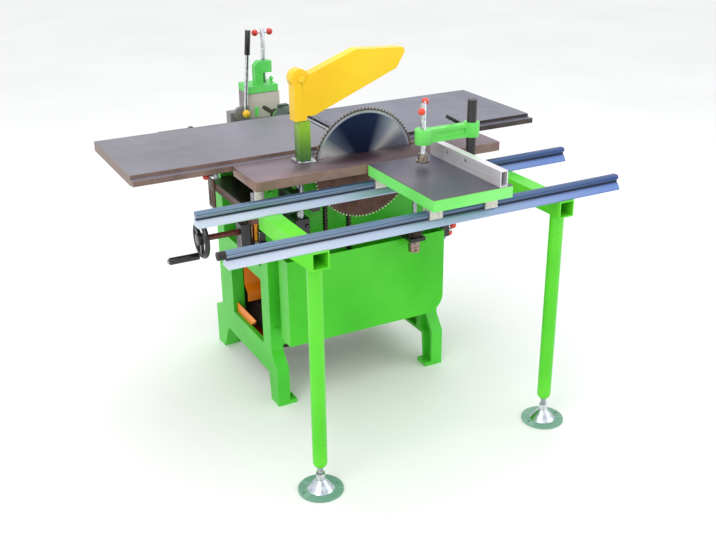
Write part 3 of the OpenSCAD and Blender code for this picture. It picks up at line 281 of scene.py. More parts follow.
def polished_blade(name):
    """Ground and polished saw-blade steel. The eye gets painted highlights and painted dark reflections in
    sectors round the arbor, a silver ring inside the teeth, fine rings round the arbor (drawn a few
    millimetres wide so that they show), and a mottled painted reflection of the brown saw table on the
    lower part."""
    made, tree, shader, place = begin(name, Metallic=0.9)
    arm = add(tree, "ShaderNodeVectorMath", {
        0: place, 1: (SPINDLE.x, BLADE_Y, SPINDLE.z)}, operation="SUBTRACT")
    reach = add(tree, "ShaderNodeVectorMath", {0: arm}, pick="Value", operation="LENGTH")
    apart = add(tree, "ShaderNodeSeparateXYZ", {0: arm}, pick=None)
    angle = add(tree, "ShaderNodeMath", {0: apart.outputs["Z"], 1: apart.outputs["X"]},
                operation="ARCTAN2")
    half = add(tree, "ShaderNodeMath", {0: angle, 1: math.pi}, operation="DIVIDE")
    # painted highlights and painted dark reflections, set by the angle round the arbor
    painted_highlight_sectors = add(tree, "ShaderNodeValToRGB", {"Fac": half}, stops=[
        (0.04, "#9aa2b2"), (0.15, "#9aa3b5"), (0.23, "#ffffff"), (0.3, "#a9b3c6"), (0.4, "#2c3a60"),
        (0.68, "#263457"), (0.79, "#717c95"), (0.88, "#ffffff"), (1.0, "#ffffff")])
    share = add(tree, "ShaderNodeMath", {0: reach, 1: BLADE_R}, operation="DIVIDE")
    at_rim = add(tree, "ShaderNodeMapRange", {"Value": share, "From Min": 0.895, "From Max": 0.905})
    rim = add(tree, "ShaderNodeValToRGB", {"Fac": share}, stops=[
        (0.91, "#c9cedb"), (0.935, "#dfe2ea"), (0.95, "#6f625c")])
    upper = add(tree, "ShaderNodeMix", {0: at_rim, 6: painted_highlight_sectors, 7: rim}, pick=2, data_type="RGBA")
    height = add(tree, "ShaderNodeSeparateXYZ", {0: place}, pick="Z")
    low = add(tree, "ShaderNodeMapRange", {
        "Value": height, "From Min": SAW_TABLE_LOW + 0.002, "From Max": SAW_TABLE_TOP - 0.006})
    # painted reflection of the brown saw table on the lower part, mottled by this noise
    reflection_mottle = add(tree, "ShaderNodeTexNoise", {
        "Vector": place, "Scale": 1000 / 35, "Detail": 4.0, "Roughness": 0.6})
    painted_table_reflection = add(tree, "ShaderNodeValToRGB", {"Fac": reflection_mottle}, stops=[(0.3, "#43302a"), (0.7, "#5a443c")])
    add(tree, "ShaderNodeMix", {0: low, 6: painted_table_reflection, 7: upper}, pick=2, into=shader["Base Color"],
        data_type="RGBA")
    ring = add(tree, "ShaderNodeTexNoise", {
        "W": add(tree, "ShaderNodeMath", {0: reach, 1: 400.0}, operation="MULTIPLY"),
        "Scale": 1.0, "Detail": 1.0}, noise_dimensions="1D")
    add(tree, "ShaderNodeValToRGB", {"Fac": ring}, into=shader["Roughness"], stops=[
        (0.3, 0.28), (0.7, 0.36)])
    add(tree, "ShaderNodeBump", {"Height": ring, "Distance": 0.002 * MM, "Strength": 0.3},
        into=shader["Normal"])
    return made


def guard_post_enamel(name):
    """Green enamel on the welded guard post. The eye gets a yellow-green top, a painted reflection of the
    yellow guard, darkening towards the foot, under a glossy coat."""
    made, tree, shader, place = begin(name, Coat_Weight=0.12, Coat_Roughness=0.1, Specular_IOR_Level=0.3)
    height = add(tree, "ShaderNodeSeparateXYZ", {0: place}, pick="Z")
    up = add(tree, "ShaderNodeMapRange", {"Value": height, "From Min": 0.845, "From Max": 0.962})
    blotch = add(tree, "ShaderNodeTexNoise", {
        "Vector": place, "Scale": 1000 / 45, "Detail": 3.0, "Roughness": 0.5})
    # painted reflection of the yellow guard at the top, darker towards the foot
    guard_reflection_by_height = add(tree, "ShaderNodeMath", {0: blotch, 1: 0.22, 2: up}, operation="MULTIPLY_ADD")
    add(tree, "ShaderNodeValToRGB", {"Fac": guard_reflection_by_height}, into=shader["Base Color"], stops=[
        (0.1, "#2f5a2a"), (0.5, "#55851f"), (0.95, "#7fae22")])
    add(tree, "ShaderNodeValToRGB", {"Fac": blotch}, into=shader["Roughness"], stops=[
        (0.3, 0.2), (0.7, 0.32)])
    add(tree, "ShaderNodeBump", {"Height": blotch, "Distance": 0.03 * MM, "Strength": 0.4},
        into=shader["Normal"])
    return made


# sprayed over rough sand-cast iron: an even mid green with a soft sheen and grainy skin
FRAME_GREEN = enamel("cast_frame_enamel", "#3cb927", "#45c52e", "#50d03a", 0.36, 12.0, 0.12, 0.3, "#6fdc5a")
# sprayed on smooth pressed sheet: a cleaner, glossier green than the castings
SHEET_GREEN = enamel("pressed_sheet_enamel", "#38b816", "#40c21b", "#4aca26", 0.3, 16.0, 0.03, 0.4, "#6ad552")
# the same enamel inside the walls, in painted shade: dark and dull
INNER_SHADE = enamel("shaded_inner_enamel", "#1d3a18", "#264a1f", "#31582a", 0.6, 10.0, 0.1, 0.0, "#3c6a33")
# sprayed on drawn steel tube: the brightest, yellowest green
ARM_GREEN = enamel("tube_arm_enamel", "#52cc22", "#5dd62a", "#6adf34", 0.3, 14.0, 0.03, 0.4, "#8cf05c")
# sprayed on the sliding table's cast frame and the hold-down arm: a paler, cooler green
TOP_GREEN = enamel("sliding_frame_enamel", "#63d658", "#70df66", "#80e676", 0.32, 12.0, 0.05, 0.3, "#93ea86")
# sprayed on a small sand casting: a pale green with a grainy skin
CLAMP_GREEN = enamel("clamp_casting_enamel", "#46bd4a", "#55cc58", "#6cd970", 0.34, 10.0, 0.1, 0.3, "#98e89b")
# sprayed on folded sheet: a strong warm orange, smooth
ORANGE = enamel("chute_enamel", "#e87204", "#f58408", "#fb9a1c", 0.32, 14.0, 0.04, 0.35, "#ffb850")
# sprayed on a pressed guard: a clear signal yellow
YELLOW = enamel("guard_enamel", "#eec010", "#f4cb16", "#fad428", 0.3, 14.0, 0.04, 0.4, "#ffe878")
# red-brown enamel on the sides of the bed casting: dull, rubbed paler at the corners
BROWN = enamel("thicknesser_bed_enamel", "#4a3026", "#5f4034", "#744f42", 0.42, 9.0, 0.12, 0.1, "#8b6a5c")
# brown-grey enamel on the ribbed motor casting: dark and nearly matt
MOTOR = enamel("motor_enamel", "#3a2c2a", "#4d3c3a", "#63504e", 0.42, 8.0, 0.12, 0.1, "#7a6664")
# red enamel on the motor's small terminal box: an even brick red
RED_BOX = enamel("terminal_box_enamel", "#a32414", "#bd2c18", "#cf3a24", 0.34, 9.0, 0.06, 0.2, "#e06450")
# grey-cream enamel on the front plate of the mortiser's slide: flat and calm
CREAM = enamel("mortiser_plate_enamel", "#a89f98", "#b5aca6", "#c2bab4", 0.36, 12.0, 0.06, 0.15, "#d2ccc6")
# grey enamel on the mortiser's castings: a little grainy
SLIDE_GREY = enamel("mortiser_slide_enamel", "#6c6668", "#797375", "#868083", 0.38, 9.0, 0.1, 0.15,
                    "#a09a9d")
# grey-green enamel on the pressed foot discs: cool, with paler rims
FOOT_GREEN = enamel("foot_disc_enamel", "#5a8b74", "#6d9c86", "#85b09c", 0.34, 9.0, 0.04, 0.2, "#b4d2c5")
# dark green-black enamel on the pressed sheet of the belt cover: low and even
DARK_COVER = enamel("belt_cover_enamel", "#22302a", "#2c3b34", "#394a42", 0.38, 10.0, 0.08, 0.2, "#5c6f65")

# ground tables: mauve-grey on the left, bluer on the right with a nearly black edge
TABLE_IRON = ground_iron("ground_planer_table_iron", "#74707b", "#7d7983", "#858290", "#66524a", "#866c62")
RIGHT_IRON = ground_iron("ground_infeed_table_iron", "#6b6b79", "#747585", "#7f8192", "#2a221f", "#41352f")
# the saw table: browner, and darkened by resin beside the blade
SAW_IRON = ground_iron("ground_saw_table_iron", "#66555c", "#75656c", "#857780", "#735a50", "#8a6d61",
                       stain="#3f2529")
# the sliding top: darker, with grinding lines across the rails
SLIDE_IRON = ground_iron("ground_sliding_top_iron", "#4b4a5b", "#5a5767", "#6f6a79", "#5d4f49", "#6f615a",
                         along_x=False)

# turned bright steel: a plain satin grey
STEEL = metal("turned_steel", "#8d9096", "#b4b8bf", 0.26)
# chromium plate on polished steel: nearly a mirror
SHINY = metal("chromed_steel", "#b9bdc4", "#e4e7ec", 0.12, grain_mm=12.0, deep=0.002)
# carbide brazed on the teeth: small pale glints
TIP = metal("brazed_carbide_tip", "#b9a79c", "#e6dcd2", 0.3, deep=0.002)
# blued, oiled steel: dark with a soft shine
DARK_STEEL = metal("blued_steel", "#2b2523", "#453c39", 0.36)
# screw steel under old oil: pale copper on dark brown
COPPERY = metal("oiled_screw_steel", "#6b4f47", "#c9a79c", 0.28)
# extruded aluminium: light satin grey with lines along the fence
FENCE = metal("extruded_fence_aluminium", "#dad8dc", "#edebef", 0.34, (1, 0.02, 1), 3.0, 0.003, 0.5)
# sand-cast aluminium: matt, warm and grainy
CAST_ALLOY = metal("cast_aluminium", "#b9b6ac", "#d9d7cf", 0.4, grain_mm=5.0, deep=0.03, metallic=0.6)
# turned steel pad, bare and worn by clamping: dull brown-grey
PAD = metal("worn_press_pad", "#75695f", "#aa9d92", 0.34)
# turned brass: warm orange-gold
BRASS = metal("turned_brass", "#a8641c", "#e09a3e", 0.3)
# bright zinc plate on pressed steel: silvery with soft clouds
ZINC = metal("zinc_plated_cone", "#aeb8c2", "#dfe6ec", 0.24, grain_mm=14.0, deep=0.002)
RAIL = drawn_rail("anodised_rail_aluminium")
BLADE = polished_blade("polished_blade_steel")
POST_GREEN = guard_post_enamel("guard_post_enamel")

# ground bed top in painted shade under the tables: almost black, with a low shine
BED_TOP_SHADE = moulded("shaded_bed_top", "#1a1310", "#2c211b", 0.34)
# black stove paint on iron and steel: dark, with a faint grain
BLACK_IRON = moulded("stove_black_iron", "#121113", "#232023", 0.38, 0.2, 10.0, 0.05)
# red-brown primer on the handwheel's shaft: dull, with a faint coat
RUST_SHAFT = moulded("primed_shaft_paint", "#4d201b", "#6a2f27", 0.4, 0.1)
# moulded rubber: matt black
RUBBER = moulded("black_rubber", "#141011", "#241d1f", 0.6)
# compression-moulded phenolic resin: deep, glossy colour
BLACK_GRIP = moulded("black_phenolic_grip", "#0d0c0d", "#1c1a1c", 0.28, 0.3)
RED_KNOB = moulded("red_phenolic_ball", "#b3170d", "#cf2314", 0.2, 0.5)
ORANGE_KNOB = moulded("red_orange_ball", "#e0300f", "#f0441c", 0.2, 0.5)
YELLOW_KNOB = moulded("yellow_phenolic_ball", "#e0a40a", "#f0bb16", 0.22, 0.4)


# finishing of the nodes
def soften(obj, width_mm):
    """Rounds the edges of a hard shape a little, as castings and sheet have them."""
    weld = obj.modifiers.new("join", "WELD")
    weld.merge_threshold = WELD_GAP
    edge = obj.modifiers.new("edge", "BEVEL")
    edge.width = width_mm * MM
    edge.segments = 2
    edge.limit_method = "ANGLE"
    edge.angle_limit = SHARP_EDGE
    edge.harden_normals = True
    edge.use_clamp_overlap = True


def paint(material, width_mm, *nodes):
    """Nodes keep their shape and get one finish, with edges rounded by width_mm."""
    for node in nodes:
        obj = NODES[node]
        for place in obj.material_slots:
            place.material = material
        if not obj.material_slots:
            obj.data.materials.append(material)
        if width_mm:
            soften(obj, width_mm)


def settle(name, mesh, body):
    """A finished mesh becomes a piece that rides on a body."""
    obj = bpy.data.objects.new(name, mesh)
    bpy.context.collection.objects.link(obj)
    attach(obj, body)
    return obj


def repaint(node, rest, width_mm, *rules):
    """A copy of a node with several finishes: rules are (test of a face's middle, material)."""
    shape = bmesh.new()
    shape.from_mesh(NODES[node].data)
    bmesh.ops.remove_doubles(shape, verts=shape.verts, dist=MERGE_GAP)
    for face in shape.faces:
        middle = face.calc_center_median()
        hits = [i for i, (test, _) in enumerate(rules) if test(middle)]
        face.material_index = hits[0] + 1 if hits else 0
        face.smooth = True
    mesh = bpy.data.meshes.new(node + "_finished")
    shape.to_mesh(mesh)
    shape.free()
    for material in [rest] + [material for _, material in rules]:
        mesh.materials.append(material)
    obj = settle(node + "_finished", mesh, BODY_OF[node])
    soften(obj, width_mm)
    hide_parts(node)


def off_axis(p, centre, axes="xy"):
    """Distance of p from a line through centre, seen along the third axis."""
    return math.hypot(*(getattr(p, a) - getattr(centre, a) for a in axes))


paint(FRAME_GREEN, 1.6, "left_end_frame", "right_end_frame", "mortiser_support")
paint(FRAME_GREEN, 1.0, "chuck_guard", "frame_bolts")
paint(CLAMP_GREEN, 1.6, "mortiser_clamp")
paint(TOP_GREEN, 1.2, "sliding_frame", "hold_arm")
paint(ARM_GREEN, 1.4, "left_arm", "right_arm")
paint(SHEET_GREEN, 0.9, "front_cover_box")
paint(ORANGE, 0.8, "chip_chute")
paint(DARK_COVER, 1.0, "rear_belt_cover")
paint(DARK_STEEL, 0.6, "spindle_bearings", "mortise_chuck", "lift_nut", "motor_pulley", "infeed_roller",
      "outfeed_roller")
paint(BLACK_IRON, 1.0, "support_brackets", "hold_post", "hold_lever")
paint(RUBBER, 0.6, "drive_belt")
paint(RUBBER, 1.8, "rail_stop")
paint(RAIL, 0.4, "front_rail", "rear_rail")
paint(FENCE, 0.5, "cross_fence")
paint(CAST_ALLOY, 0.8, "carriage_brackets")
paint(STEEL, 0.5, "cutter_block", "spindle_shaft", "bed_screw")
paint(BLADE, 0, "saw_blade")
paint(TABLE_IRON, 0.8, "left_table")
paint(RIGHT_IRON, 0.5, "right_table")
paint(SLIDE_IRON, 0.4, "sliding_top")
paint(BLACK_GRIP, 1.6, "crank_grip", "table_lever")
paint(YELLOW, 1.4, "blade_guard")
paint(SLIDE_GREY, 1.4, "mortiser_knee", "mortiser_body")

# the walls get painted shade on their inner faces
repaint("front_wall", FRAME_GREEN, 1.0, (lambda p: p.y > -0.2195 and p.z < 0.76, INNER_SHADE))
repaint("rear_wall", FRAME_GREEN, 1.0, (lambda p: p.y < 0.1425 and p.z < 0.76, INNER_SHADE))
# the motor's terminal box is red
repaint("motor_body", MOTOR, 0.8, (lambda p: p.x < -0.2485 or (
    p.x < -0.2 and p.y < -0.0375 and 0.0995 < p.z < 0.1405), RED_BOX))
# the bed's top face is painted almost black for the shade under the tables
repaint("thickness_bed", BROWN, 1.2, (lambda p: p.z > BED_TOP_Z - NEAR, BED_TOP_SHADE))
# a black block with two hexagon screws hangs under the right end of the saw table
repaint("saw_table", SAW_IRON, 1.0, (lambda p: p.z < SAW_TABLE_LOW - NEAR and 0.325 < p.x < 0.3735
                                     and p.y > -0.41, BLACK_IRON))
# the post's flange and screws are bare and bright
repaint("guard_post", POST_GREEN, 0.9, (lambda p: p.z < 0.8497 and (
    abs(p.x - GUARD_POST.x) > 0.0178 or abs(p.y - GUARD_POST.y) > 0.0178), SHINY))
# the stem's head and its pivot screw are yellow like the guard
repaint("guard_stem", STEEL, 0.5, (lambda p: off_axis(p, GUARD_PIVOT, "xz") < 0.0155, YELLOW))
# the two hexagon screws at the housing's foot are bare steel
repaint("gear_housing", BLACK_IRON, 1.0, (lambda p: -0.3352 < p.x < -0.3298 and 0.575 < p.z < 0.6, STEEL))
# the plate that stands up from the bed in front of its screw is cast aluminium
repaint("bed_nut", BRASS, 0.8, (lambda p: p.z > BED_TOP_Z - 0.0002, CAST_ALLOY))
# the wheel's shaft and the pin of its grip
repaint("bed_handwheel", BLACK_GRIP, 0.6, (lambda p: p.x > -0.5062, RUST_SHAFT),
        (lambda p: abs(p.z - GRIP_Z) < 0.0075 and p.x < -0.527, STEEL))
# balls, pads and grips at the ends of bars
repaint("table_lock", STEEL, 0.4, (lambda p: p.x < -0.4745, RED_KNOB))
repaint("column_lock", SHINY, 0.4, (lambda p: off_axis(p, COLUMN_LOCK, "yz") > 0.0095, ORANGE_KNOB))
repaint("hold_screw", SHINY, 0.5, (lambda p: p.z < 0.8795, PAD),
        (lambda p: off_axis(p, PRESS) > 0.0495, ORANGE_KNOB))
repaint("clamp_screw", SHINY, 0.5, (lambda p: abs(p.x - MORTISE_SCREW.x) > 0.0162, RED_KNOB))
repaint("mortiser_lever", SHINY, 0.6, (lambda p: p.z < 0.8035 and p.y < 0.4452, YELLOW_KNOB),
        (lambda p: p.z > 0.9975, BLACK_GRIP))
# the slide's front plate is cream, with a small green block on it
repaint("mortiser_slide", SLIDE_GREY, 1.0,
        (lambda p: p.y < 0.4499 and -0.0545 < p.x < -0.0395 and p.z < 0.8035, CLAMP_GREEN),
        (lambda p: p.y < 0.4562 and p.x > -0.0771 and p.z > 0.7615, CREAM))
# the thick lower part of the lifting screw, between the columns, is oily
repaint("saw_columns", STEEL, 0.5, (lambda p: off_axis(p, LIFT) < 0.0185 and p.z < 0.55, COPPERY))
# from the floor up: disc, cone, hexagon nut, and the plain stud above them
for foot in ("left_foot", "right_foot"):
    repaint(foot, STEEL, 0.7, (lambda p: p.z < 0.0062, FOOT_GREEN), (lambda p: p.z < 0.0352, ZINC),
            (lambda p: p.z < 0.0562, SHINY))


# repeated parts, grown by node trees
def new_tree(name, sockets):
    """A node tree with a geometry input, named inputs, a finish and a geometry output."""
    tree = bpy.data.node_groups.new(name, "GeometryNodeTree")
    face = tree.interface
    face.new_socket("Geometry", in_out="INPUT", socket_type="NodeSocketGeometry")
    for label, value in sockets.items():
        kind = "Vector" if isinstance(value, tuple) else "Int" if isinstance(value, int) else "Float"
        made = face.new_socket(label, in_out="INPUT", socket_type="NodeSocket" + kind)
        made.default_value = value
    face.new_socket("Finish", in_out="INPUT", socket_type="NodeSocketMaterial")
    face.new_socket("Geometry", in_out="OUTPUT", socket_type="NodeSocketGeometry")
    return tree, add(tree, "NodeGroupInput", pick=None).outputs


def close_tree(tree, given, shape):
    """Realize Instances and Set Material at the end of a tree."""
    real = add(tree, "GeometryNodeRealizeInstances", {0: shape})
    dressed = add(tree, "GeometryNodeSetMaterial", {"Geometry": real, "Material": given["Finish"]})
    add(tree, "NodeGroupOutput", {"Geometry": dressed})
    return tree


def grown(name, carrier, tree, values, body):
    """Runs a tree on a carrier and keeps the result as a plain mesh piece."""
    run = carrier.modifiers.new("grow", "NODES")
    run.node_group = tree
    for item in tree.interface.items_tree:
        if item.item_type == "SOCKET" and item.in_out == "INPUT" and item.name in values:
            run[item.identifier] = values[item.name]
    bpy.context.view_layer.update()
    seen = carrier.evaluated_get(bpy.context.evaluated_depsgraph_get())
    mesh = bpy.data.meshes.new_from_object(seen)
    mesh.name = name
    bpy.data.objects.remove(carrier)
    return settle(name, mesh, body)


def carrier_of(places):
    """An object whose vertices are the places that a tree puts copies on."""
    mesh = bpy.data.meshes.new("places")
    mesh.from_pydata([tuple(p) for p in places], [], [])
    obj = bpy.data.objects.new("places", mesh)
    bpy.context.collection.objects.link(obj)
    return obj


def screw_tree():
    """A chamfered hexagon head on a washer at each place, turned to face along an axis."""
    tree, given = new_tree("hexagon_screws", {"Radius": 0.0065, "High": 0.006, "Axis": (0.0, 0.0, 1.0)})
    washer = add(tree, "GeometryNodeMeshCylinder", {
        "Vertices": 20, "Depth": 0.0016,
        "Radius": add(tree, "ShaderNodeMath", {0: given["Radius"], 1: 1.25}, operation="MULTIPLY")})
    low = add(tree, "GeometryNodeTransform", {"Geometry": washer, "Translation": (0, 0, 0.0008)})
    body = add(tree, "GeometryNodeMeshCone", {
        "Vertices": 6, "Depth": given["High"], "Radius Bottom": given["Radius"],
        "Radius Top": add(tree, "ShaderNodeMath", {0: given["Radius"], 1: 0.86}, operation="MULTIPLY")})
    up = add(tree, "GeometryNodeTransform", {"Geometry": body, "Translation": (0, 0, 0.0012)})
    both = add(tree, "GeometryNodeJoinGeometry", {0: [up, low]})
    aim = add(tree, "FunctionNodeAlignRotationToVector", {"Vector": given["Axis"]}, axis="Z")
    return close_tree(tree, given, add(tree, "GeometryNodeInstanceOnPoints", {
        "Points": given["Geometry"], "Instance": both, "Rotation": aim}))


def thread_tree():
    """A screw thread: a four-sided ridge wound round its shaft, with closed ends."""
    tree, given = new_tree("screw_thread", {
        "Radius": 0.008, "Turns": 10.0, "Height": 0.03, "Ridge": 0.001, "Foot": (0.0, 0.0, 0.0)})
    helix = add(tree, "GeometryNodeCurveSpiral", {
        "Resolution": 28, "Rotations": given["Turns"], "Start Radius": given["Radius"],
        "End Radius": given["Radius"], "Height": given["Height"]})
    ridge = add(tree, "GeometryNodeCurvePrimitiveCircle", {"Resolution": 5, "Radius": given["Ridge"]})
    wound = add(tree, "GeometryNodeCurveToMesh", {
        "Curve": helix, "Profile Curve": ridge, "Fill Caps": True})
    return close_tree(tree, given, add(tree, "GeometryNodeTransform", {
        "Geometry": wound, "Translation": given["Foot"]}))


def tooth_tree():
    """Brazed tips round a blade, one at the cutting corner of each tooth."""
    tree, given = new_tree("blade_tips", {
        "Teeth": BLADE_TEETH, "Radius": 0.1668, "Tip": (0.0052, 0.0026, 0.0034),
        "Centre": (0.0, 0.0, 0.0)})
    ring = add(tree, "GeometryNodeMeshCircle", {"Vertices": given["Teeth"], "Radius": given["Radius"]})
    tip = add(tree, "GeometryNodeMeshCube", {"Size": given["Tip"]})
    out = add(tree, "FunctionNodeAlignRotationToVector", {
        "Vector": add(tree, "GeometryNodeInputPosition")}, axis="X")
    round_rim = add(tree, "GeometryNodeInstanceOnPoints", {"Points": ring, "Instance": tip, "Rotation": out})
    return close_tree(tree, given, add(tree, "GeometryNodeTransform", {
        "Geometry": round_rim, "Translation": given["Centre"], "Rotation": (math.pi / 2, 0, 0)}))


def chain_tree():
    """Links along a closed path: a roller and two side plates at each pitch."""
    tree, given = new_tree("feed_chain_links", {
        "Pitch": 0.0095, "Plate Height": 0.0105, "Roller Radius": 0.0034, "Width": 0.0125})
    path = add(tree, "GeometryNodeResampleCurve", {"Curve": given["Geometry"], "Length": given["Pitch"]},
               mode="LENGTH")
    aim = add(tree, "FunctionNodeAlignRotationToVector", {
        "Vector": add(tree, "GeometryNodeInputTangent")}, axis="X")
    roller = add(tree, "GeometryNodeMeshCylinder", {
        "Vertices": 10, "Radius": given["Roller Radius"], "Depth": given["Width"]})
    pieces = [add(tree, "GeometryNodeTransform", {"Geometry": roller, "Rotation": (math.pi / 2, 0, 0)})]
    size = add(tree, "ShaderNodeCombineXYZ", {
        0: add(tree, "ShaderNodeMath", {0: given["Pitch"], 1: 0.82}, operation="MULTIPLY"),
        1: 0.0022, 2: given["Plate Height"]})
    plate = add(tree, "GeometryNodeMeshCube", {"Size": size})
    for side in (-0.5, 0.5):
        off = add(tree, "ShaderNodeMath", {0: given["Width"], 1: side}, operation="MULTIPLY")
        pieces.append(add(tree, "GeometryNodeTransform", {
            "Geometry": plate, "Translation": add(tree, "ShaderNodeCombineXYZ", {1: off})}))
    link = add(tree, "GeometryNodeJoinGeometry", {0: pieces})
    return close_tree(tree, given, add(tree, "GeometryNodeInstanceOnPoints", {
        "Points": path, "Instance": link, "Rotation": aim}))


def chain_path():
    """The closed middle line of the chain round its two wheels."""
    points = []
    for centre, start in ((CHAIN_TOP, 0.0), (CHAIN_LOW, math.pi)):
        for i in range(25):
            a = start + math.pi * i / 24
            points.append(centre + Vector((math.cos(a), 0, math.sin(a))) * CHAIN_R)
    curve = bpy.data.curves.new("chain_path", "CURVE")
    curve.dimensions = "3D"
    line = curve.splines.new("POLY")
    line.points.add(len(points) - 1)
    for point, spot in zip(line.points, points):
        point.co = (*spot, 1)
    line.use_cyclic_u = True
    obj = bpy.data.objects.new("chain_path", curve)
    bpy.context.collection.objects.link(obj)
    return obj


def turned(shape, profile, place, sides):
    """Adds a form turned about Y: profile is (along, radius) in mm, place is its front in metres."""
    turn = Matrix.Rotation(-math.pi / 2, 4, "X")
    rings = []
    for along, radius in profile:
        angles = [2 * math.pi * i / sides for i in range(sides)]
        rings.append([shape.verts.new(Vector(place) + turn @ Vector((
            radius * math.cos(a), radius * math.sin(a), along)) * MM) for a in angles])
    for low, high in zip(rings, rings[1:]):
        for i in range(sides):
            j = (i + 1) % sides
            shape.faces.new((low[i], low[j], high[j], high[i]))
    shape.faces.new(rings[0][::-1])
    shape.faces.new(rings[-1])


def chain_wheel(name, centre):
    """A chain wheel with its hub, inside the chain."""
    shape = bmesh.new()
    front = (centre.x, CHAIN_WHEEL_FRONT, centre.z)
    turned(shape, [(1, 31), (2, 34), (4, 36), (11, 36), (13, 34), (14, 31)], front, 44)
    turned(shape, [(14, 17), (17, 18), (25, 15), (25.4, 13)], front, 32)
    bmesh.ops.recalc_face_normals(shape, faces=shape.faces)
    mesh = bpy.data.meshes.new(name)
    shape.to_mesh(mesh)
    shape.free()
    mesh.materials.append(DARK_STEEL)
    mesh.shade_smooth()
    obj = settle(name, mesh, "machine")
    soften(obj, 0.4)


chain = grown("feed_chain_links", chain_path(), chain_tree(), {"Finish": DARK_STEEL}, "machine")
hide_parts("feed_chain")
chain_wheel("lower_chain_wheel", CHAIN_LOW)

THREAD = thread_tree()
THREADS = [
    # name, centre, low, high, shaft radius, pitch, ridge (all mm), finish, body, slot
    ("lift_thread", LIFT, 502, 546, 17.0, 7.0, 2.2, COPPERY, "saw_bench", "bright_steel"),
    ("bed_screw_thread", BED_SCREW, 670, 732, 8.0, 5.0, 1.0, STEEL, "screw", "bright_steel"),
    ("press_thread", PRESS, 966, 1004, 7.6, 4.0, 0.9, SHINY, "press", "chrome_steel"),
    ("mortise_screw_thread", MORTISE_SCREW, 976, 1050, 7.6, 4.0, 0.9, SHINY, "mortise_press",
     "chrome_steel"),
    ("left_foot_thread", Vector((FOOT_X[0], FOOT_Y, 0)), 57, 73, 7.4, 3.5, 0.9, STEEL, "foot_left",
     "bright_steel"),
    ("right_foot_thread", Vector((FOOT_X[1], FOOT_Y, 0)), 57, 73, 7.4, 3.5, 0.9, STEEL, "foot_right",
     "bright_steel"),
]
for name, centre, low, high, radius, pitch, ridge, finish, body, slot in THREADS:
    grown(name, carrier_of([(0, 0, 0)]), THREAD, {
        "Radius": radius * MM, "Turns": (high - low) / pitch, "Height": (high - low) * MM,
        "Ridge": ridge * MM, "Foot": (centre.x, centre.y, low * MM), "Finish": finish}, body)

grown("saw_blade_tips", carrier_of([(0, 0, 0)]), tooth_tree(), {
    "Centre": (SPINDLE.x, BLADE_Y, SPINDLE.z), "Finish": TIP}, "spindle")

SCREW = screw_tree()
SCREWS = [
    # name, places, axis, head radius and height (mm), finish, body, slot
    ("front_bearing_screws", [(SPINDLE.x + x, -0.2405, z) for x in (-0.024, 0.024) for z in (0.772, 0.79)],
     (0.0, -1.0, 0.0), 5.0, 4.0, STEEL, "machine", "bright_steel"),
    ("rear_bearing_screws", [(SPINDLE.x + x, 0.252, z) for x in (-0.018, 0.006) for z in (0.78, 0.845)],
     (0.0, 1.0, 0.0), 5.0, 4.0, STEEL, "machine", "bright_steel"),
    ("belt_cover_screws", [(-0.098 + x, 0.236, z) for x, z in ((-0.118, 0.2), (0.01, 0.2), (-0.018, 0.6))],
     (0.0, 1.0, 0.0), 5.5, 4.5, STEEL, "machine", "bright_steel"),
    ("rear_wall_screws", [(x, 0.158, z) for x in (-0.245, 0.245) for z in (0.3, 0.5, 0.7)],
     (0.0, 1.0, 0.0), 6.5, 5.0, FRAME_GREEN, "machine", "frame_green"),
]
for name, places, axis, radius, high, finish, body, slot in SCREWS:
    grown(name, carrier_of(places), SCREW, {
        "Radius": radius * MM, "High": high * MM, "Axis": axis, "Finish": finish}, body)


# floor, light and camera
def pale_floor(name):
    """A plain painted studio floor: the eye gets a near-white ground with only a breath of unevenness."""
    made, tree, shader, place = begin(name, Roughness=0.7)
    cloud = add(tree, "ShaderNodeTexNoise", {"Vector": place, "Scale": 1.1, "Detail": 2.0})
    add(tree, "ShaderNodeValToRGB", {"Fac": cloud}, into=shader["Base Color"], stops=[
        (0.3, "#f1f1f0"), (0.7, "#f6f6f5")])
    return made


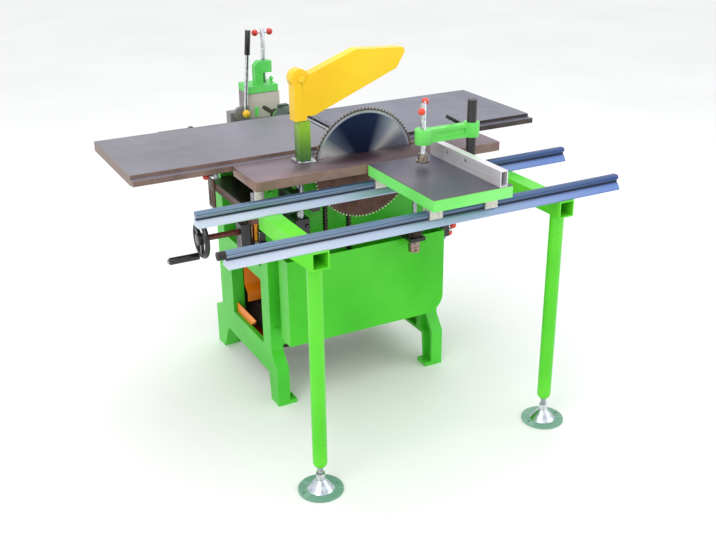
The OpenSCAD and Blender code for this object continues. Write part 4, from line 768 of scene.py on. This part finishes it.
floor_mesh = bpy.data.meshes.new("floor")
corners = [(x * FLOOR_HALF, y * FLOOR_HALF, 0) for x, y in ((-1, -1), (1, -1), (1, 1), (-1, 1))]
floor_mesh.from_pydata(corners, [], [(0, 1, 2, 3)])
floor_mesh.materials.append(pale_floor("pale_floor_paint"))
floor = bpy.data.objects.new("floor", floor_mesh)
bpy.context.collection.objects.link(floor)
floor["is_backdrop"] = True

world = bpy.data.worlds.new("studio")
bpy.context.scene.world = world
world.use_nodes = True
back = world.node_tree.nodes["Background"]
back.inputs["Color"].default_value = (0.98, 0.99, 1.0, 1)
back.inputs["Strength"].default_value = 1.0


def lamp(name, place, aim, power, size, tint):
    """A square soft lamp at place, turned to aim."""
    data = bpy.data.lights.new(name, "AREA")
    data.energy = power
    data.size = size
    data.color = tint
    obj = bpy.data.objects.new(name, data)
    obj.location = place
    obj.rotation_euler = (Vector(aim) - Vector(place)).to_track_quat("-Z", "Y").to_euler()
    bpy.context.collection.objects.link(obj)


lamp("key_light", (-2.6, -2.2, 3.4), (0, -0.2, 0.6), 55, 2.2, (1, 0.98, 0.95))
lamp("fill_light", (3.0, -2.4, 2.2), (0, 0, 0.6), 22, 2.5, (0.95, 0.97, 1))
lamp("top_light", (0.3, 0.6, 3.6), (0, 0, 0.8), 30, 2.5, (1, 1, 1))

CAMERA_PLACE = Vector((-1.371, -2.874, 1.700))
LOOK = Vector((0.424, 0.813, -0.399)).normalized()
RIGHT = Vector((0.884, -0.467, -0.010))
RIGHT = (RIGHT - LOOK * RIGHT.dot(LOOK)).normalized()
LENS_MM = 49.93
camera_data = bpy.data.cameras.new("photo_camera")
camera_data.lens = LENS_MM
camera_data.sensor_width = 36
camera_data.clip_end = 60
camera = bpy.data.objects.new("photo_camera", camera_data)
turn = Matrix((RIGHT, RIGHT.cross(LOOK), -LOOK)).transposed().to_4x4()
camera.matrix_world = Matrix.Translation(CAMERA_PLACE) @ turn
bpy.context.collection.objects.link(camera)
bpy.context.scene.camera = camera
bpy.context.scene.view_settings.view_transform = "Standard"

low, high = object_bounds()
